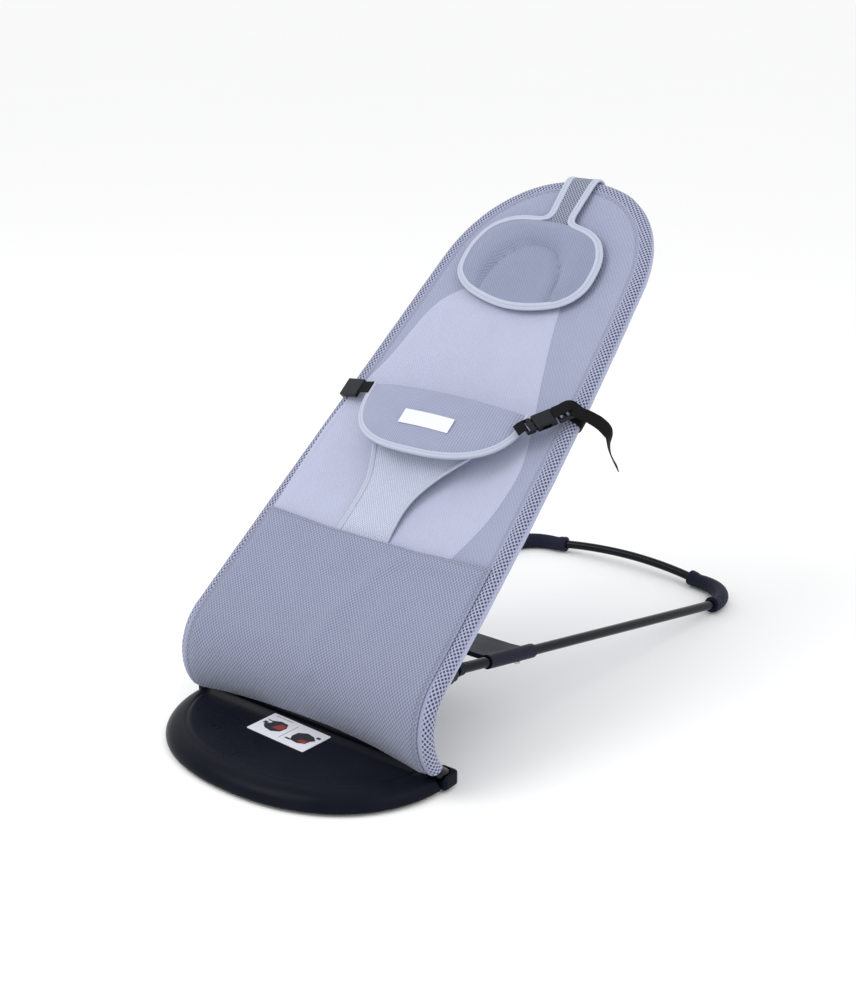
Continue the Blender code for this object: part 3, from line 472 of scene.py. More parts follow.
def tube(path, radii, up=Z, sides=32, closed=False, shape=None):
    """Round bar along a path. radii is one radius, or one per point."""
    shape = shape or bmesh.new()
    layer = shape.verts.layers.float_vector.get("cloth")
    radii = radii if isinstance(radii, list) else [radii] * len(path)
    rings = []
    length = 0.0
    for k, (centre, (_, side, high)) in enumerate(zip(path, frames(path, up, closed))):
        if k:
            length += (centre - path[k - 1]).length
        ring = []
        for m in range(sides):
            angle = 2 * math.pi * m / sides
            vertex = shape.verts.new(centre + radii[k] * (math.cos(angle) * high + math.sin(angle) * side))
            if layer:
                vertex[layer] = (radii[k] * angle, length, radii[k] * abs(angle - math.pi))
            ring.append(vertex)
        rings.append(ring)
    if not closed:
        return skinned(shape, rings)
    for one, two in zip(rings, rings[1:] + rings[:1]):
        skin(shape, one, two)
    return shape


def turned(path, profile_points, up=Z, sides=32):
    """Solid of revolution along a path: profile_points are (fraction along the path, radius)."""
    lengths = [0.0]
    for one, two in zip(path, path[1:]):
        lengths.append(lengths[-1] + (two - one).length)
    points, radii = [], []
    for share, radius in profile_points:
        target = share * lengths[-1]
        k = max(i for i, value in enumerate(lengths[:-1]) if value <= target + 1e-9)
        part = (target - lengths[k]) / max(lengths[k + 1] - lengths[k], 1e-9)
        points.append(path[k].lerp(path[k + 1], part))
        radii.append(radius)
    for k in range(1, len(points)):
        if (points[k] - points[k - 1]).length < 1e-6:
            direction = (path[-1] - path[0]).normalized()
            points[k] = points[k] + 2e-5 * direction
    return tube(points, radii, up, sides)


def flat_band(path, up, half_width, half_height, sides=16, power=0.6):
    """Tape or binding: a flattened oval swept along a path, lying square to up."""
    shape, layer = cloth_shape()
    rings = []
    length = 0.0
    for k, (centre, (_, side, high)) in enumerate(zip(path, frames(path, up))):
        if k:
            length += (centre - path[k - 1]).length
        ring = []
        for m in range(sides):
            angle = 2 * math.pi * m / sides
            c, s = math.cos(angle), math.sin(angle)
            flat_c, flat_s = bow(c, power), bow(s, power)
            vertex = shape.verts.new(centre + half_width * flat_c * side + half_height * flat_s * high)
            vertex[layer] = (half_width * flat_c, length, half_width * flat_c)
            ring.append(vertex)
        rings.append(ring)
    return skinned(shape, rings)


def smooth_path(points, count):
    """Catmull-Rom curve through points, with count steps between each pair."""
    made = []
    last = len(points) - 1
    for k in range(last):
        quad = points[max(k - 1, 0)], points[k], points[k + 1], points[min(k + 2, last)]
        made += [between(quad, m / count) for m in range(count)]
    return made + [points[-1]]


def interpolate(table, at):
    """Smooth curve through (position, value) pairs."""
    if at <= table[0][0]:
        return table[0][1]
    for (x0, y0), (x1, y1) in zip(table, table[1:]):
        if at <= x1:
            share = (at - x0) / (x1 - x0)
            k = table.index((x0, y0))
            before = table[max(k - 1, 0)]
            after = table[min(k + 2, len(table) - 1)]
            m0 = (y1 - before[1]) / (x1 - before[0]) * (x1 - x0)
            m1 = (after[1] - y0) / (after[0] - x0) * (x1 - x0)
            t2, t3 = share * share, share * share * share
            return (2 * t3 - 3 * t2 + 1) * y0 + (t3 - 2 * t2 + share) * m0 + (3 * t2 - 2 * t3) * y1 + (t3 - t2) * m1
    return table[-1][1]


# ---- places on the seat and on the base frame

def profile(s):
    bend_y = BEND_RADIUS * math.sin(START_HEADING)
    bend_z = FOOT_Z - BEND_RADIUS * math.cos(START_HEADING)
    if s < 0:
        return s * math.cos(START_HEADING), FOOT_Z + s * math.sin(START_HEADING), START_HEADING
    if s < BEND_LENGTH:
        heading = START_HEADING - s / BEND_RADIUS
        return bend_y - BEND_RADIUS * math.sin(heading), bend_z + BEND_RADIUS * math.cos(heading), heading
    heading = INCLINE + BOW * (s - BEND_LENGTH)
    y = bend_y - BEND_RADIUS * math.sin(INCLINE) + (math.sin(heading) - math.sin(INCLINE)) / BOW
    z = bend_z + BEND_RADIUS * math.cos(INCLINE) - (math.cos(heading) - math.cos(INCLINE)) / BOW
    return y, z, heading


def seat(x, s, h=0.0):
    y, z, heading = profile(s)
    return Vector((x, y - h * math.sin(heading), z + h * math.cos(heading)))


def seat_up(s):
    heading = profile(s)[2]
    return Vector((0, -math.sin(heading), math.cos(heading)))


def seat_along(s):
    heading = profile(s)[2]
    return Vector((0, math.cos(heading), math.sin(heading)))


def taper(s):
    share = max(s, 0) / ARCH_START
    return FOOT_X + (HEAD_X - FOOT_X) * share + 4 * BULGE * share * (1 - share)


def tube_x(s):
    if s <= ARCH_START:
        return taper(s)
    share = min((s - ARCH_START) / (ARCH_END - ARCH_START), 1)
    return taper(s) * (1 - share ** ARCH_POWER) ** (1 / ARCH_POWER)


def arch(angle):
    share = abs(math.sin(angle)) ** (2 / ARCH_POWER)
    s = ARCH_START + (ARCH_END - ARCH_START) * share
    reach = taper(s) * abs(math.cos(angle)) ** (2 / ARCH_POWER)
    return math.copysign(reach, math.cos(angle)), s


def cloth_h(x, s):
    across = 1 - min(abs(x) / max(tube_x(s), 0.01), 1) ** 2
    along = 1 - min(s / ARCH_END, 1) ** 8
    at_plate = 0.006 * math.exp(-(s / 0.05) ** 2)
    return CLOTH_H - (SAG + at_plate) * across * along


def on_cloth(x, s, lift):
    return seat(x, s, cloth_h(x, s) + lift)


def base_x(y):
    rate = (BASE_REAR_X - BASE_FRONT_X) / (BASE_REAR_Y - CORNER_RADIUS - BASE_FRONT_Y)
    return BASE_FRONT_X + rate * (y - BASE_FRONT_Y)


def base(x, d, h=0.0):
    y = HINGE_Y + d * math.cos(BASE_DROP) + h * math.sin(BASE_DROP)
    z = HINGE_Z - d * math.sin(BASE_DROP) + h * math.cos(BASE_DROP)
    return Vector((x, y, z))


def base_tube_point(d):
    place = base(0, d)
    return Vector((base_x(place.y), place.y, place.z))


def base_d(y):
    return (y - HINGE_Y) / math.cos(BASE_DROP)


def wave(x, s, scale, seed):
    return noise.noise(Vector((x / scale, s / scale, seed)))


# ---- finishes

GREY = (0.325, 0.350, 0.490)
LIGHT = (0.455, 0.480, 0.625)
WHITE = (0.53, 0.575, 0.72)
BLACK = (0.0042, 0.0054, 0.0105)


class Looks:
    """Every material, made once."""

    def __init__(self):
        dark = (0.040, 0.045, 0.068)
        shade = scaled(GREY, 0.55)
        self.cover = air_mesh("grey_air_mesh", GREY, shade, (0.0052, 0.0060), 0.25, 0.0004, 0.30, dark, -0.0100)
        self.pocket = air_mesh("pocket_air_mesh", (0.318, 0.350, 0.488), (0.110, 0.122, 0.185), (0.0046, 0.0052),
                               0.26, 0.0006, 0.66, None, -0.0045, bend_shade=0.22)
        self.panel = air_mesh("light_air_mesh", LIGHT, (0.33, 0.355, 0.50), (0.0040, 0.0046), 0.25, 0.0003, 0.50)
        self.pillow = air_mesh("pillow_mesh", (0.270, 0.305, 0.430), (0.15, 0.17, 0.26), (0.0040, 0.0046), 0.25,
                               0.0004, 0.55)
        self.open_mesh = air_mesh("open_white_mesh", WHITE, (0.27, 0.295, 0.41), (0.0036, 0.0054), 0.26, 0.0006,
                                  0.55)
        self.strap_mesh = air_mesh("strap_mesh", (0.36, 0.395, 0.51), (0.04, 0.05, 0.08), (0.0046, 0.0052), 0.27,
                                   0.0006, 0.90)
        self.rib = ribbed("ribbed_mesh", (0.312, 0.335, 0.470), (0.13, 0.145, 0.225), 0.0034, 0.0004)
        self.binding = tape("white_binding", (0.485, 0.525, 0.65), 0.0014, 0.0, dark=0.88)
        self.webbing = tape("black_webbing", (0.0055, 0.0056, 0.0068), 0.0026, None, 0.7, 0.35, 0.12)
        self.plate = moulded("plate_plastic", BLACK, 0.30, 0.00004, 0.055)
        self.plastic = moulded("black_plastic", (0.0055, 0.006, 0.009), 0.34, 0.00005, 0.22)
        self.slate = moulded("slate_plastic", (0.010, 0.012, 0.024), 0.42, 0.00008, 0.08)
        self.rubber = moulded("slate_rubber", (0.011, 0.013, 0.027), 0.50, 0.0001, 0.08)
        self.paint = painted("black_paint", (0.0022, 0.0026, 0.0050), 0.13, 0.15)
        self.steel = painted("steel", (0.50, 0.50, 0.51), 0.32, metallic=1.0)
        self.label = paper("label_white", (0.72, 0.735, 0.79))
        self.ink = paper("ink_dark", (0.018, 0.02, 0.026))
        self.red = paper("ink_red", (0.26, 0.035, 0.03))


# ---- front plate

def plate_ring(z, inset, count=160):
    points = []
    side = min(inset, 0.003)
    first = math.asin((-PLATE_STEP_Y / PLATE_DEPTH) ** (PLATE_POWER / 2))
    for k in range(count + 1):
        angle = first + (math.pi - 2 * first) * k / count
        reach = bow(math.cos(angle), 2 / PLATE_POWER)
        x = (PLATE_HALF_WIDTH - inset) * reach
        y = -(PLATE_DEPTH - inset) * math.sin(angle) ** (2 / PLATE_POWER)
        points.append(Vector((x, min(y, PLATE_STEP_Y - side / 2), z)))
    half, rear = PLATE_REAR_HALF_WIDTH - side / 2, PLATE_REAR_Y - side
    step = PLATE_STEP_Y - side / 2
    points[0].y = points[-1].y = step
    outer, inner = 0.010, half - 0.026
    for x, y in ((-half, step), (-half, outer), (-inner, rear), (inner, rear), (half, outer), (half, step)):
        points.append(Vector((x, y, z)))
    return points


def front_plate(looks):
    rim = [(PLATE_BOTTOM, 0.004), (PLATE_BOTTOM + 0.0003, 0.0018), (0.0045, 0.0003), (0.0065, 0.0), (0.009, 0.0004),
           (0.0115, 0.0014), (0.0140, 0.0030), (0.0160, 0.0048), (0.0180, 0.0072), (0.0197, 0.0100),
           (0.0211, 0.0132), (0.0222, 0.0168), (0.0229, 0.0202), (0.0232, 0.0228), (0.0231, 0.0243),
           (0.0233, 0.0256), (0.0240, 0.0272), (PLATE_TOP - 0.0001, 0.0290), (PLATE_TOP, 0.0310)]
    shape = bmesh.new()
    skinned(shape, [[shape.verts.new(p) for p in plate_ring(z, inset)] for z, inset in rim])
    piece("front_plate_moulding", shape, looks.plate, "black_plastic", "front_plate", angle=50)
    # raised oval maker's place, left blank
    path = []
    for k in range(64):
        angle = 2 * math.pi * k / 64
        path.append(Vector((-0.005 + 0.0190 * bow(math.cos(angle), 0.75),
                            -0.119 + 0.0075 * bow(math.sin(angle), 0.75), PLATE_TOP + 0.00005)))
    piece("plate_oval", tube(path, 0.00028, Z, 8, True), looks.plate, "black_plastic")


def sticker(looks):
    """Blank white sticker with two plain pictograms of a folded and an unfolded seat."""
    turn = Matrix.Rotation(math.radians(-2.4), 4, "Z")
    centre = Vector((-0.0095, -0.0435, PLATE_TOP + 0.0009))
    shape = bmesh.new()
    half_x, half_y, corner = 0.047, 0.024, 0.0015
    outline = []
    for sx, sy, start in ((1, 1, 0), (-1, 1, 90), (-1, -1, 180), (1, -1, 270)):
        for k in range(5):
            angle = math.radians(start + 90 * k / 4)
            outline.append((sx * (half_x - corner) + corner * math.cos(angle),
                            sy * (half_y - corner) + corner * math.sin(angle)))
    flat_prism(shape, outline, -0.0006, 0.0, centre, turn)
    piece("sticker", shape, looks.label, "white_label", "instruction_label")
    seat_shape = [(-0.016, -0.004), (-0.010, 0.004), (-0.012, 0.008), (-0.002, 0.013), (0.010, 0.012), (0.015, 0.004),
                  (0.014, -0.006), (0.004, -0.012), (-0.008, -0.010)]
    places = (-0.0225, 1), (0.0245, -1)
    dark = [[(middle + sign * x, sign * y) for x, y in seat_shape] for middle, sign in places]
    dark += [rectangle(-0.042, -0.002, -0.036, 0.003), rectangle(-0.041, 0.006, -0.034, 0.008),
             rectangle(0.006, -0.013, 0.014, -0.010), rectangle(0.036, 0.009, 0.042, 0.013)]
    lines = [rectangle(-0.0003, -0.017, 0.0003, 0.017), rectangle(-0.040, 0.0195, -0.012, 0.0202)]
    red = [[(-0.024, -0.004), (-0.019, 0.008), (-0.009, 0.007), (-0.010, -0.005)],
           [(0.022, -0.009), (0.034, -0.010), (0.037, -0.003), (0.026, -0.003)]]
    for name, look, low, outlines in (("lines", looks.ink, 0.0, lines), ("pictograms", looks.ink, 0.0, dark),
                                      ("pictogram_red", looks.red, 0.0001, red)):
        shape = bmesh.new()
        for outline in outlines:
            flat_prism(shape, outline, low, low + 0.0001, centre, turn)
        piece("sticker_" + name, shape, look, "white_label")


def rectangle(x0, y0, x1, y1):
    return [(x0, y0), (x1, y0), (x1, y1), (x0, y1)]


def flat_prism(shape, outline, low, high, centre, turn):
    rings = []
    for z in (low, high):
        rings.append([shape.verts.new(centre + turn @ Vector((x, y, z))) for x, y in outline])
    skinned(shape, rings)


# ---- seat tubes

def seat_tubes(looks):
    for side, name in ((1, "right"), (-1, "left")):
        lengths = steps(40, TUBE_FIRST_S, BEND_LENGTH) + steps(40, BEND_LENGTH, TUBE_JOINT_S)[1:]
        path = [seat(side * tube_x(s), s) for s in lengths]
        piece("seat_tube_" + name, tube(path, TUBE_RADIUS, X, 28), looks.paint, "black_paint",
              "lower_seat_tube_" + name)
    plan = [(tube_x(s), s) for s in steps(14, TUBE_JOINT_S + 0.0004, 0.70)]
    plan += [arch(math.pi * k / 96) for k in range(97)]
    plan += [(-tube_x(s), s) for s in reversed(steps(14, TUBE_JOINT_S + 0.0004, 0.70))]
    path = [seat(x, s) for x, s in plan]
    up = [seat_up(s) for x, s in plan]
    piece("head_tube_arch", tube(path, TUBE_RADIUS, up, 28), looks.paint, "black_paint", "head_tube")


# ---- base frame

def mirrored(points, side):
    return [Vector((side * p.x, p.y, p.z)) for p in points]


def base_frame(looks):
    for side, name in ((1, "right"), (-1, "left")):
        straight = mirrored([base_tube_point(d) for d in steps(24, 0.030, base_d(0.6345))], side)
        piece("base_tube_smooth_" + name, tube(straight, BASE_TUBE_RADIUS, Z, 32), looks.paint, "black_paint",
              "base_tube_" + name, body="base_frame")
        piece("corner_sleeve_ridged_" + name, corner_sleeve(side), looks.rubber, "slate_rubber",
              "corner_sleeve_" + name, body="base_frame")
    half = [crossbar_point(x) for x in steps(26, 0.124, 0.0)]
    path = half + mirrored(reversed(half[:-1]), -1)
    piece("crossbar_smooth", tube(path, CROSSBAR_RADIUS, Z, 28), looks.paint, "black_paint",
          "rear_crossbar", body="base_frame")


def crossbar_point(x):
    rise = 1 - (x / (BASE_REAR_X - CORNER_RADIUS)) ** 2
    return Vector((x, BASE_REAR_Y + CROSSBAR_BOW * rise, SLEEVE_RADIUS + CROSSBAR_RISE * rise))


def corner_sleeve(side):
    """Rubber corner, with two raised collars at each end and a slight swell at the bend."""
    corner_y = BASE_REAR_Y - CORNER_RADIUS
    path = [base_tube_point(base_d(y)) for y in steps(16, SLEEVE_FRONT_Y, corner_y)]
    for k in range(1, 25):
        angle = math.pi / 2 * k / 24
        path.append(Vector((BASE_REAR_X - CORNER_RADIUS * (1 - math.cos(angle)),
                            corner_y + CORNER_RADIUS * math.sin(angle), SLEEVE_RADIUS)))
    path += [crossbar_point(x) for x in steps(10, BASE_REAR_X - CORNER_RADIUS, SLEEVE_END_X)[1:]]
    total = sum((b - a).length for a, b in zip(path, path[1:]))
    shares = sorted(set([0, 0.004, 0.010, 0.045, 0.055, 0.065, 0.100, 0.110, 0.120, 0.90, 0.91, 0.92, 0.955, 0.965,
                         0.975, 0.992, 0.996, 1.0] + steps(48)))
    body = SLEEVE_RADIUS - 0.0010
    points = []
    for share in shares:
        from_end = min(share, 1 - share) * total
        ridge = 0.0010 * smooth_step(0.012, 0.009, from_end)
        groove = 0.0006 * math.exp(-((from_end - 0.006) / 0.0012) ** 2)
        round_end = 0.0009 * smooth_step(0.0012, 0.0, from_end)
        swell = 0.0008 * math.sin(math.pi * share) ** 4
        points.append((share, body + ridge - groove - round_end + swell))
    return turned(mirrored(path, side), points, Z, 36)


def smooth_step(low, high, value):
    share = min(max((value - low) / (high - low), 0), 1)
    return share * share * (3 - 2 * share)


# ---- seat cover

ARCH_COUNT = 176
CORNER_COUNT = 56
ARCH_ANGLE = math.pi / ARCH_COUNT


def edge_curve():
    """The tubes' centre line in plan, as (x, s), from the right foot round the head to the left foot."""
    made = [(tube_x(s), s) for s in steps(90, 0.0, ARCH_START)]
    made += [arch(ARCH_ANGLE * k) for k in range(1, ARCH_COUNT)]
    made += [(-tube_x(s), s) for s in steps(90, ARCH_START, 0.0)]
    return made


HEAD_EDGE = edge_curve()[70:-69]


def from_edge(x, s):
    """Distance in plan from the tubes' centre line, negative inside it."""
    if s < 0.60:
        return abs(x) - tube_x(s)
    return -distance_to(x, s, HEAD_EDGE)


def ridge(x, s, line, width):
    """Height of a soft fold along a line of (x, s) points, 1 on the line."""
    return math.exp(-(distance_to(x, s, line) / width) ** 2)


def cover_ripple(x, s, w):
    """Small waves: gathers along the seam, and slack in the middle of the cloth."""
    gather = 0.00045 * math.exp(-((w + 0.012) / 0.010) ** 2) * wave(x + s, s, 0.011, 3.1)
    slack = 0.0007 * smooth_step(-0.012, -0.04, w) * wave(x, s, 0.07, 1.7)
    seam = -0.0009 * math.exp(-((w + 0.0100) / 0.0016) ** 2)
    return gather + slack + seam


def seat_cover(looks):
    bend = steps(36, COVER_START_S, BEND_LENGTH)
    straight = steps(70, BEND_LENGTH, ARCH_START)[1:]
    rows = bend + straight + [arch(ARCH_ANGLE * k)[1] for k in range(1, CORNER_COUNT + 1)]
    columns = rounded_steps(72)
    span = ARCH_COUNT - 2 * CORNER_COUNT
    top = [arch(math.pi - ARCH_ANGLE * (CORNER_COUNT + a * span)) for a in columns]

    def plan(i, j):
        a, b = columns[i], (rows[j] - rows[0]) / (rows[-1] - rows[0])
        blend = b ** 6
        side_x = (2 * a - 1) * tube_x(rows[j])
        top_x, top_s = top[i]
        return (side_x + blend * (top_x - (2 * a - 1) * tube_x(rows[-1])),
                rows[j] + blend * (top_s - rows[-1]))

    shape, layer = cloth_shape()
    last_i, last_j = len(columns) - 1, len(rows) - 1
    places = [[plan(i, j) for i in range(last_i + 1)] for j in range(last_j + 1)]
    depth = [[from_edge(x, s) for x, s in row] for row in places]
    stations = [(0, j) for j in range(last_j + 1)]
    stations += [(i, last_j) for i in range(1, last_i)]
    stations += [(last_i, j) for j in reversed(range(last_j + 1))]
    centres = [places[j][i] for i, j in stations]
    angles = [math.radians(9 * m) for m in range(1, 17)]
    rims = []
    for lift in (-CLOTH / 2, CLOTH / 2):
        grid = []
        for j, row in enumerate(places):
            line = []
            for i, (x, s) in enumerate(row):
                w = depth[j][i]
                vertex = shape.verts.new(on_cloth(x, s, lift + cover_ripple(x, s, w)))
                vertex[layer] = (x, s, w)
                line.append(vertex)
            grid.append(line)
        wraps = []
        for k, (x, s) in enumerate(centres):
            before, after = centres[max(k - 1, 0)], centres[min(k + 1, len(centres) - 1)]
            run = Vector((after[0] - before[0], after[1] - before[1])).normalized()
            outward = -run.y * X + run.x * seat_along(s)
            column = [grid[stations[k][1]][stations[k][0]]]
            for angle in angles:
                puff = 0.0007 * math.sin(min(angle, math.pi / 2 + 0.6)) ** 2 * (1 + 0.8 * wave(x, s, 0.02, angle))
                reach = CLOTH_H + lift + puff
                direction = math.cos(angle) * seat_up(s) + math.sin(angle) * outward
                vertex = shape.verts.new(seat(x, s) + reach * direction)
                w = CLOTH_H * angle
                vertex[layer] = (x - run.y * w, s + run.x * w, w)
                column.append(vertex)
            wraps.append(column)
        for one, two in zip(grid, grid[1:]):
            skin(shape, one, two, closed=False)
        for one, two in zip(wraps, wraps[1:]):
            skin(shape, one, two, closed=False)
        rim = wraps[0][::-1] + grid[0][1:-1] + wraps[-1]
        rim += [column[-1] for column in reversed(wraps[1:-1])]
        rims.append(rim)
    skin(shape, rims[0], rims[1])
    made = piece("mesh_cover", shape, looks.cover, "grey_mesh", "seat_cover")


PANEL_TOP_S = 0.681
PANEL_RIGHT = [(0.28, 0.112), (0.341, 0.131), (0.39, 0.1365), (0.424, 0.134), (0.47, 0.121), (0.524, 0.102),
               (0.58, 0.083), (0.63, 0.068), (0.662, 0.060), (0.676, 0.049), (0.681, 0.034)]
PANEL_LEFT = [(0.28, -0.171), (0.341, -0.171), (0.40, -0.170), (0.44, -0.167), (0.48, -0.159), (0.531, -0.1435),
              (0.58, -0.1345), (0.615, -0.128), (0.642, -0.117), (0.662, -0.099), (0.676, -0.074), (0.681, -0.050)]


def centre_panel(looks):
    def plan(a, b):
        """(x, s, distance from the nearer side edge)."""
        s = POCKET_TOP_S - 0.014 + (PANEL_TOP_S - POCKET_TOP_S + 0.014) * b
        x0, x1 = interpolate(PANEL_LEFT, s), interpolate(PANEL_RIGHT, s)
        x = x0 + (x1 - x0) * a
        return x, s, min(x - x0, x1 - x)

    def place(a, b, lift):
        x, s, near = plan(a, b)
        puff = 0.0011 * smooth_step(0.0, 0.004, near) - 0.0003
        ripple = 0.0008 * wave(x, s, 0.06, 5.2) * smooth_step(0.0, 0.02, near)
        return on_cloth(x, s, CLOTH / 2 + 0.0003 + lift + puff + ripple + cover_ripple(x, s, from_edge(x, s)))

    def weave(a, b):
        x, s, near = plan(a, b)
        return x, s, -near

    shape = sheet(rounded_steps(56), rounded_steps(90), place, weave, 0.0007)
    made = piece("light_panel", shape, looks.panel, "light_mesh", "centre_panel")


KNEE_FOLD = [(0.150, 0.262), (0.100, 0.268), (0.055, 0.262), (0.030, 0.245), (0.012, 0.205), (0.003, 0.165),
             (0.002, 0.130), (0.010, 0.098)]
INNER_FOLD = [(0.135, 0.225), (0.105, 0.226), (0.080, 0.212), (0.066, 0.186), (0.060, 0.155)]
SIDE_FOLD = [(-0.150, 0.262), (-0.110, 0.235), (-0.060, 0.225), (-0.010, 0.235)]


def pocket_wave(x, s):
    deep = 0.0026 * ridge(x, s, KNEE_FOLD, 0.011) + 0.0012 * ridge(x, s, INNER_FOLD, 0.010)
    deep += 0.0010 * ridge(x, s, SIDE_FOLD, 0.014)
    return deep + 0.0011 * wave(x, s, 0.085, 8.4) + 0.0004 * wave(x, s, 0.03, 2.6)


def foot_panel(looks):
    first = 0.024

    def half(s):
        return tube_x(s) - 0.0045

    def plan(a, b):
        s = first + (POCKET_TOP_S - first) * b
        dip = 0.004 * b ** 10 * math.sin(math.pi * a)
        return (2 * a - 1) * half(s), s - dip

    def place(a, b, lift):
        x, s = plan(a, b)
        near = smooth_step(0.0, 0.012, half(s) - abs(x))
        lip = 0.0035 * b ** 14 * math.sin(math.pi * a) ** 0.6
        over_strap = 0.0030 * smooth_step(0.066, 0.040, abs(x)) * smooth_step(0.225, 0.262, s)
        stand = CLOTH + 0.0008 + lift + near * (0.0018 + pocket_wave(x, s)) + lip + over_strap
        return on_cloth(x, s, stand)

    def weave(a, b):
        x, s = plan(a, b)
        return x, s, -min(half(s) - abs(x), POCKET_TOP_S - s)

    shape = sheet(rounded_steps(80), rounded_steps(96), place, weave, CLOTH)
    made = piece("pocket_panel", shape, looks.pocket, "grey_mesh", "foot_panel")


# ---- head pillow

PILLOW_OUTLINE = [(-0.029, 0.7862), (0.012, 0.7850), (0.030, 0.7800), (0.0520, 0.7735), (0.0725, 0.7590),
                  (0.0865, 0.7345), (0.0895, 0.7100), (0.0880, 0.6880), (0.0765, 0.6690), (0.0545, 0.6560),
                  (0.0143, 0.6475), (-0.0262, 0.6475), (-0.0752, 0.6605), (-0.1000, 0.6765), (-0.1105, 0.6930),
                  (-0.1125, 0.7170), (-0.1100, 0.7390), (-0.0990, 0.7640), (-0.0770, 0.7795), (-0.0530, 0.7855)]
PILLOW_CENTRE = (-0.010, 0.7215)


def closed_curve(points, count):
    """Closed Catmull-Rom curve through plan points, with count steps between each pair."""
    made = []
    total = len(points)
    for k in range(total):
        quad = [Vector(points[(k + m) % total]) for m in (-1, 0, 1, 2)]
        made += [between(quad, m / count) for m in range(count)]
    return made


def arch_seam(x, s):
    """Distance from the pillow's inner seam, negative inside the arch."""
    power = 2.3
    reach_x, reach_s = 0.056, 0.078
    up = max(s - 0.668, 0)
    share = (abs((x + 0.012) / reach_x) ** power + (up / reach_s) ** power) ** (1 / power)
    return (share - 1) * 0.06


def pillow_height(x, s, share):
    """Height of the pillow's upper surface over the cover."""
    seam = arch_seam(x, s)
    side = smooth_step(1.0, 0.72, share)
    roll = 0.0065 * side * smooth_step(-0.002, 0.016, seam)
    hollow = -0.0035 * smooth_step(0.0, -0.030, seam) + 0.0022 * smooth_step(-0.004, -0.02, seam)
    groove = -0.0042 * math.exp(-(seam / 0.0036) ** 2) * smooth_step(1.0, 0.9, share)
    return 0.0135 + roll + hollow * side + groove + 0.0006 * wave(x, s, 0.03, 6.6)


def head_pillow(looks):
    outline = closed_curve(PILLOW_OUTLINE, 10)
    centre = Vector(PILLOW_CENTRE)
    shape, layer = cloth_shape()
    shares = [0.06, 0.14, 0.22, 0.30, 0.38, 0.45, 0.51, 0.56, 0.60, 0.64, 0.68, 0.72, 0.76, 0.80, 0.84, 0.88, 0.92,
              0.96]

    def ring(share, height):
        row = []
        for point in outline:
            place = centre + share * (point - centre)
            high = height(place.x, place.y, share)
            vertex = shape.verts.new(on_cloth(place.x, place.y, high))
            vertex[layer] = (place.x, place.y, 0)
            row.append(vertex)
        return row

    under = ((0.3, CLOTH + 0.0030), (0.6, CLOTH + 0.0030), (0.9, CLOTH + 0.0030), (0.955, 0.0052), (0.972, 0.0090))
    rings = [ring(share, lambda *_, level=level: level) for share, level in under]
    rings += [ring(share, pillow_height) for share in reversed(shares)]
    made = piece("pillow", skinned(shape, rings), looks.pillow, "grey_mesh", "head_pillow", angle=60)

    # binding: round the pillow, with a gap at the top where it turns up along the strap
    start, end = (min(range(len(outline)), key=lambda k: (outline[k] - Vector(place)).length)
                  for place in ((0.0145, 0.787), (-0.027, 0.788)))
    end += len(outline) if end <= start else 0
    order = [outline[k % len(outline)] for k in range(start, end + 1)]
    path = [on_cloth(p.x, p.y, 0.0112 + 0.0012 * smooth_step(0.76, 0.787, p.y)) for p in order]
    up = [pillow_rim_up(p, centre) for p in order]
    first = strap_edge(1)
    last = strap_edge(-1)
    path = [p for p, _ in reversed(first)] + path + [p for p, _ in last]
    up = [u for _, u in reversed(first)] + up + [u for _, u in last]
    band = flat_band(relaxed(path, 14), up, 0.0050, 0.0019, 18)
    piece("pillow_binding", band, looks.binding, "light_mesh")


def relaxed(path, rounds):
    """The path with its corners rounded off; its ends stay."""
    for _ in range(rounds):
        middle = [(a + 2 * b + c) / 4 for a, b, c in zip(path, path[1:], path[2:])]
        path = [path[0]] + middle + [path[-1]]
    return path


def pillow_rim_up(point, centre):
    """The binding leans outwards a little, as it closes the pillow's edge."""
    out = (point - centre).normalized()
    return (seat_up(point.y) + 0.35 * (out.x * X + out.y * seat_along(point.y))).normalized()


STRAP_HEAD = ARCH_END
STRAP_FIRST = 0.786
STRAP_REACH = CLOTH_H + CLOTH + 0.0045
STRAP_X = -0.004
# fractions of the strap's length where it starts over the tube and where it leaves it again
OVER = 0.4
BEHIND = 0.75


def strap_half(b):
    return 0.0152 + 0.0042 * min(b / OVER, 1)


def strap_centre(b, x, lift):
    """Neck strap: straight up from the pillow, over the head tube and down behind it."""
    reach = STRAP_REACH + lift
    if b < OVER:
        share = b / OVER
        dip = 0.0016 * (1 - share) ** 2
        return seat(STRAP_X + x, STRAP_FIRST + (STRAP_HEAD - STRAP_FIRST) * share, reach - dip)
    if b < BEHIND:
        return seat(STRAP_X + x, STRAP_HEAD) + reach * strap_up(b)
    return seat(STRAP_X + x, STRAP_HEAD - 0.055 * (b - BEHIND) / (1 - BEHIND), -reach)


def strap_up(b):
    if b < OVER:
        return seat_up(0.82)
    if b < BEHIND:
        angle = math.pi * (b - OVER) / (BEHIND - OVER)
        return math.cos(angle) * seat_up(STRAP_HEAD) + math.sin(angle) * seat_along(STRAP_HEAD)
    return -seat_up(STRAP_HEAD)


def strap_edge(side):
    """Path of the binding along one edge of the neck strap, from the pillow outwards."""
    return [(strap_centre(b, side * strap_half(b), 0.0004), strap_up(b)) for b in steps(60, 0.030, 0.995)]


def pillow_strap(looks):
    def place(a, b, lift):
        return strap_centre(b, (2 * a - 1) * strap_half(b), lift)

    def weave(a, b):
        length = 0.073 * b / OVER if b < OVER else 0.073 + (b - OVER) * 0.22
        return (2 * a - 1) * strap_half(b), length, 0

    shape = sheet(steps(12), steps(80), place, weave, 0.0010)
    made = piece("neck_strap", shape, looks.strap_mesh, "light_mesh", "pillow_strap")


# ---- belly pad and crotch strap

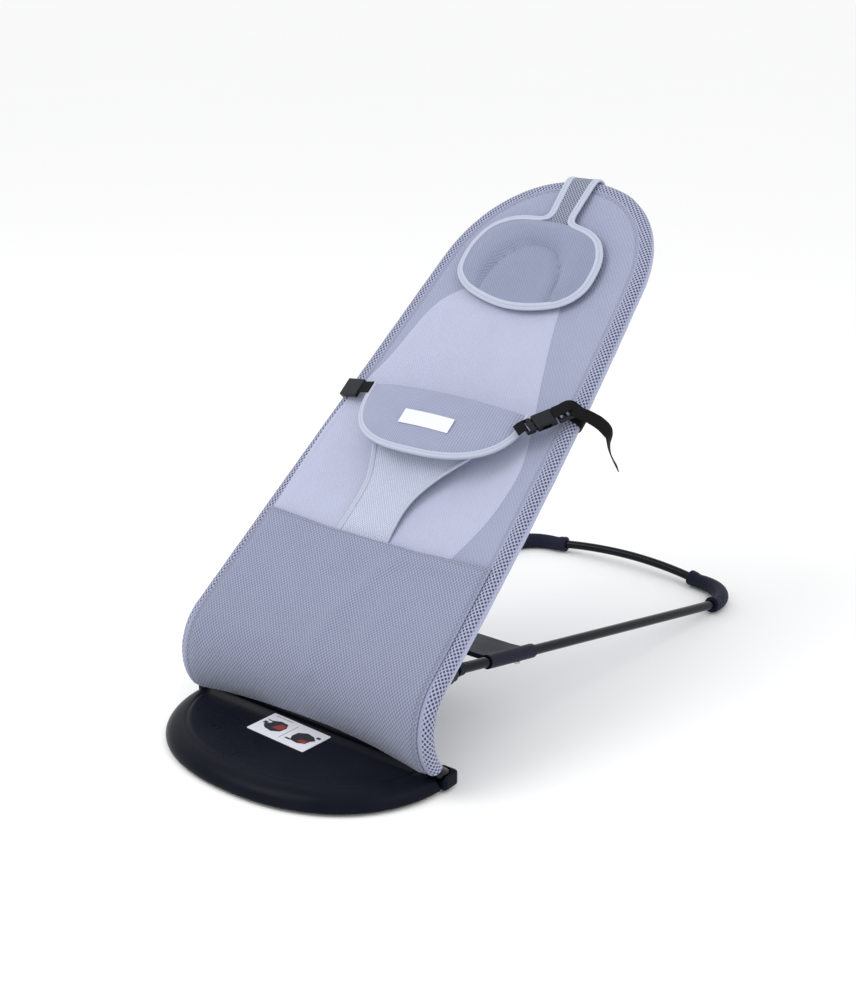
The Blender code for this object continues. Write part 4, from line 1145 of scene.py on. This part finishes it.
PAD_TOP_S = 0.4775
PAD_DEPTH = 0.090
PAD_HALF = 0.120
PAD_RISE = 0.022
PAD_SPAN = 0.125


def belly_h(x):
    return 0.024 + PAD_RISE * (1 - (x / PAD_SPAN) ** 2)


def pad_top(x):
    return PAD_TOP_S - 0.004 * math.cos(math.pi * x / 0.24) + 0.004


def pad_low(x):
    return PAD_DEPTH * (1 - min(abs(x / (PAD_HALF + 0.0005)), 1) ** 2.5) ** (1 / 2.5)


def pad_place(x, down, lift):
    s = pad_top(x) - down
    return seat(x, s, belly_h(x) + lift)


def belly_pad(looks):
    def puff(a, b):
        edge = min(a, 1 - a) * 0.24
        low = pad_low((2 * a - 1) * PAD_HALF)
        near = min(edge, low * (1 - b) + 0.002)
        return 0.0016 * smooth_step(0.0, 0.016, near)

    def place(a, b, lift):
        x = (2 * a - 1) * PAD_HALF
        sign = 1 if lift > 0 else -1
        swell = puff(a, b) + 0.0009 * wave(x, pad_low(x) * b, 0.035, 4.4)
        round_top = 0.0018 * (1 - smooth_step(0.0, 0.05, b))
        return pad_place(x, pad_low(x) * b + round_top, lift + sign * (swell - round_top * 0.8))

    def weave(a, b):
        x = (2 * a - 1) * PAD_HALF
        return x, pad_low(x) * b, 0

    shape = sheet(rounded_steps(64), steps(30), place, weave, 0.0042)
    made = piece("belly_pad_quilted", shape, looks.rib, "grey_mesh", "belly_pad", angle=60)

    # binding round the curved lower edge, from corner to corner
    path, up = [], []
    for k in range(121):
        angle = math.pi * k / 120
        x = -(PAD_HALF + 0.0008) * bow(math.cos(angle), 0.8)
        path.append(pad_place(x, PAD_DEPTH * math.sin(angle) ** 0.8 + 0.0005, 0.0004))
        up.append((seat_up(0.44) + (2 * PAD_RISE * x / PAD_SPAN ** 2) * X).normalized())
    piece("belly_binding", flat_band(path, up, 0.0042, 0.0031, 18), looks.binding, "light_mesh")

    label_x, label_s = 0.005, 0.431

    def label(a, b, lift):
        x = label_x + (a - 0.5) * 0.076
        curl = 0.0006 * (2 * a - 1) ** 4
        return seat(x, label_s + (b - 0.5) * 0.021, belly_h(x) + 0.0046 + curl + lift)

    def label_weave(a, b):
        return a * 0.08, b * 0.021, 0

    shape = sheet(steps(24), steps(8), label, label_weave, 0.0004)
    piece("blank_label", shape, looks.label, "white_label", "care_label")
    tacks = bmesh.new()
    for side in (-1, 1):
        for k in range(6):
            x = label_x + side * 0.0365
            s = label_s + (k - 2.5) * 0.0031
            start = seat(x, s - 0.0010, belly_h(x) + 0.0050)
            end = seat(x, s + 0.0010, belly_h(x) + 0.0050)
            tube([start, (start + end) / 2 + 0.0002 * seat_up(s), end], [0.0001, 0.00022, 0.0001], X, 6, shape=tacks)
    piece("label_stitches", tacks, looks.binding, "white_label")


CROTCH_LEFT = [(0.262, -0.0625), (0.280, -0.0608), (0.300, -0.0580), (0.320, -0.0560), (0.338, -0.0552),
               (0.354, -0.0558), (0.376, -0.0615), (0.395, -0.0680), (0.408, -0.0725), (0.425, -0.0770)]
CROTCH_RIGHT = [(0.262, 0.0125), (0.280, 0.0123), (0.300, 0.0120), (0.320, 0.0130), (0.338, 0.0175),
                (0.354, 0.0252), (0.376, 0.0410), (0.395, 0.0590), (0.408, 0.0720), (0.425, 0.0790)]
CROTCH_FIRST = 0.270
CROTCH_LAST = 0.425


def crotch_s(b):
    return CROTCH_FIRST + (CROTCH_LAST - CROTCH_FIRST) * b


def crotch_place(b, x, lift):
    s = crotch_s(b)
    rise = CLOTH + 0.0017 + 0.0013 * smooth_step(0.06, 0.16, b) + 0.0225 * b ** 1.4
    rise += 0.0006 * smooth_step(0.0, 0.2, b) * wave(x, s, 0.03, 9.1)
    return seat(x, s, cloth_h(x, s) + rise + lift)


def crotch_edge(side, b, out=0.0):
    """Place across the seat of one edge of the crotch strap; out is counted outwards from it."""
    return interpolate(CROTCH_RIGHT if side > 0 else CROTCH_LEFT, crotch_s(b)) + side * out


def crotch_strap(looks):
    def across(a, b):
        left, right = crotch_edge(-1, b), crotch_edge(1, b)
        return left + (right - left) * a

    def place(a, b, lift):
        return crotch_place(b, across(a, b), lift)

    def weave(a, b):
        return across(a, b), 0.17 * b, 0

    shape = sheet(steps(36), steps(60), place, weave, 0.0014)
    made = piece("crotch_panel", shape, looks.open_mesh, "light_mesh", "crotch_strap")
    for side, name in ((1, "right"), (-1, "left")):
        path = [crotch_place(b, crotch_edge(side, b, 0.0005), 0.0003) for b in steps(60)]
        band = flat_band(path, seat_up(0.35), 0.0034, 0.0019, 14)
        piece("crotch_binding_" + name, band, looks.binding, "light_mesh")


# ---- harness

def buckle_frame():
    start = seat(0.1265, 0.455, 0.0352)
    end = seat(0.159, 0.5005, 0.021)
    along = (end - start).normalized()
    across = along.cross(seat_up(0.48)).normalized()
    return start, along, across.cross(along).normalized()


def in_buckle(u, w):
    start, along, up = buckle_frame()
    return start + u * along + w * up


def strap(path, up, count):
    """Webbing along control points; up holds the face's normal at each of them."""
    normals = [v.normalized() for v in smooth_path(up, count)]
    return flat_band(smooth_path(path, count), normals, WEBBING_WIDTH / 2, WEBBING / 2, 14, power=0.35)


def harness(looks):
    up = buckle_frame()[2]
    path = [in_buckle(u, w) for u, w in ((-0.0060, 0.0010), (-0.003, 0.0022), (0.0005, 0.0038), (0.0068, 0.0046))]
    piece("tongue_strap", strap(path, [up] * 4, 6), looks.webbing, "black_webbing", "tongue_webbing",
          body="buckle_tongue")
    for side, s, root, lean, name in ((1, 0.505, 0.0148, 0.0, "right"), (-1, 0.4735, 0.0144, -27.0, "left")):
        path, facing = tube_loop(side, s, root, lean)
        band = flat_band(path, facing, LOOP_WIDTH / 2, WEBBING / 2, 14, power=0.35)
        piece("tube_strap_" + name, band, looks.webbing, "black_webbing", "tube_loop_" + name)
    slider = ((-0.1205, 0.0306), (-0.124, 0.0294), (-0.129, 0.0280), (-0.137, 0.0262))
    path = [seat(x, SLIDER_S, h) for x, h in slider]
    piece("slider_strap", strap(path, [seat_up(SLIDER_S)] * 4, 6), looks.webbing, "black_webbing", "slider_webbing")
    tail = [in_buckle(u, w) for u, w in ((0.0425, 0.0052), (0.0485, 0.0060), (0.0550, 0.0066), (0.0610, 0.0078),
                                         (0.0660, 0.0062))]
    tail += [seat(*place) for place in ((0.178, 0.504, 0.0215), (0.190, 0.5055, 0.0125), (0.2005, 0.5065, 0.0),
                                        (0.2065, 0.5045, -0.0135), (0.208, 0.4950, -0.0245),
                                        (0.210, 0.4885, -0.0385), (0.214, 0.4845, -0.0555))]
    facing = [up] * 5 + [(up + 0.3 * X).normalized(), (0.8 * up + 0.6 * X).normalized(), (0.3 * up + X).normalized()]
    # past the fold the tail hangs edge on
    edge_on = (0.75 * X + 0.66 * Y).normalized()
    facing += [X, (0.9 * X + 0.4 * Y).normalized(), edge_on, edge_on]
    piece("strap_end", strap(tail, facing, 8), looks.webbing, "black_webbing", "strap_tail")


def tube_loop(side, s, root, lean):
    """Webbing hung from a point over a seat tube, round its outside and up to the slit in the cover."""
    centre = seat(side * tube_x(s), s)
    reach = CLOTH_H + CLOTH + 0.0018
    first = lean + math.degrees(math.acos(reach / root))

    def towards(turn):
        return math.cos(math.radians(turn)) * seat_up(s) + side * math.sin(math.radians(turn)) * X

    turns = steps(40, first, 262)
    path = [centre + root * towards(lean)] + [centre + reach * towards(turn) for turn in turns]
    return path, [towards(first)] + [towards(turn) for turn in turns]


# ---- finishing of the CAD nodes that stay

def finish_nodes(looks):
    """Finishes of the CAD nodes that stay. A star stands for right and for left."""
    chosen = (
        (looks.plate, "plate_clamp_bar tube_socket_*"),
        (looks.slate, "crosspiece hinge_bracket_* stay_clip_* base_knuckle_*"),
        (looks.plastic, "buckle_socket buckle_tongue ladder_lock slider_left hinge_cap_*"),
        (looks.rubber, "plate_pad_rear plate_pad_* stay_foot_sleeve"),
        (looks.paint, "support_stay"),
        (looks.steel, "hinge_pin_* tube_button_* crosspiece_screw_*"),
    )
    for look, names in chosen:
        for name in names.split():
            for side in ("right", "left") if "*" in name else ("",):
                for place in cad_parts[name.replace("*", side)].material_slots:
                    place.material = look


def main():
    studio()
    looks = Looks()
    for part in (front_plate, sticker, seat_tubes, base_frame, seat_cover, centre_panel, foot_panel, head_pillow,
                 pillow_strap, belly_pad, crotch_strap, harness, finish_nodes):
        part(looks)


main()
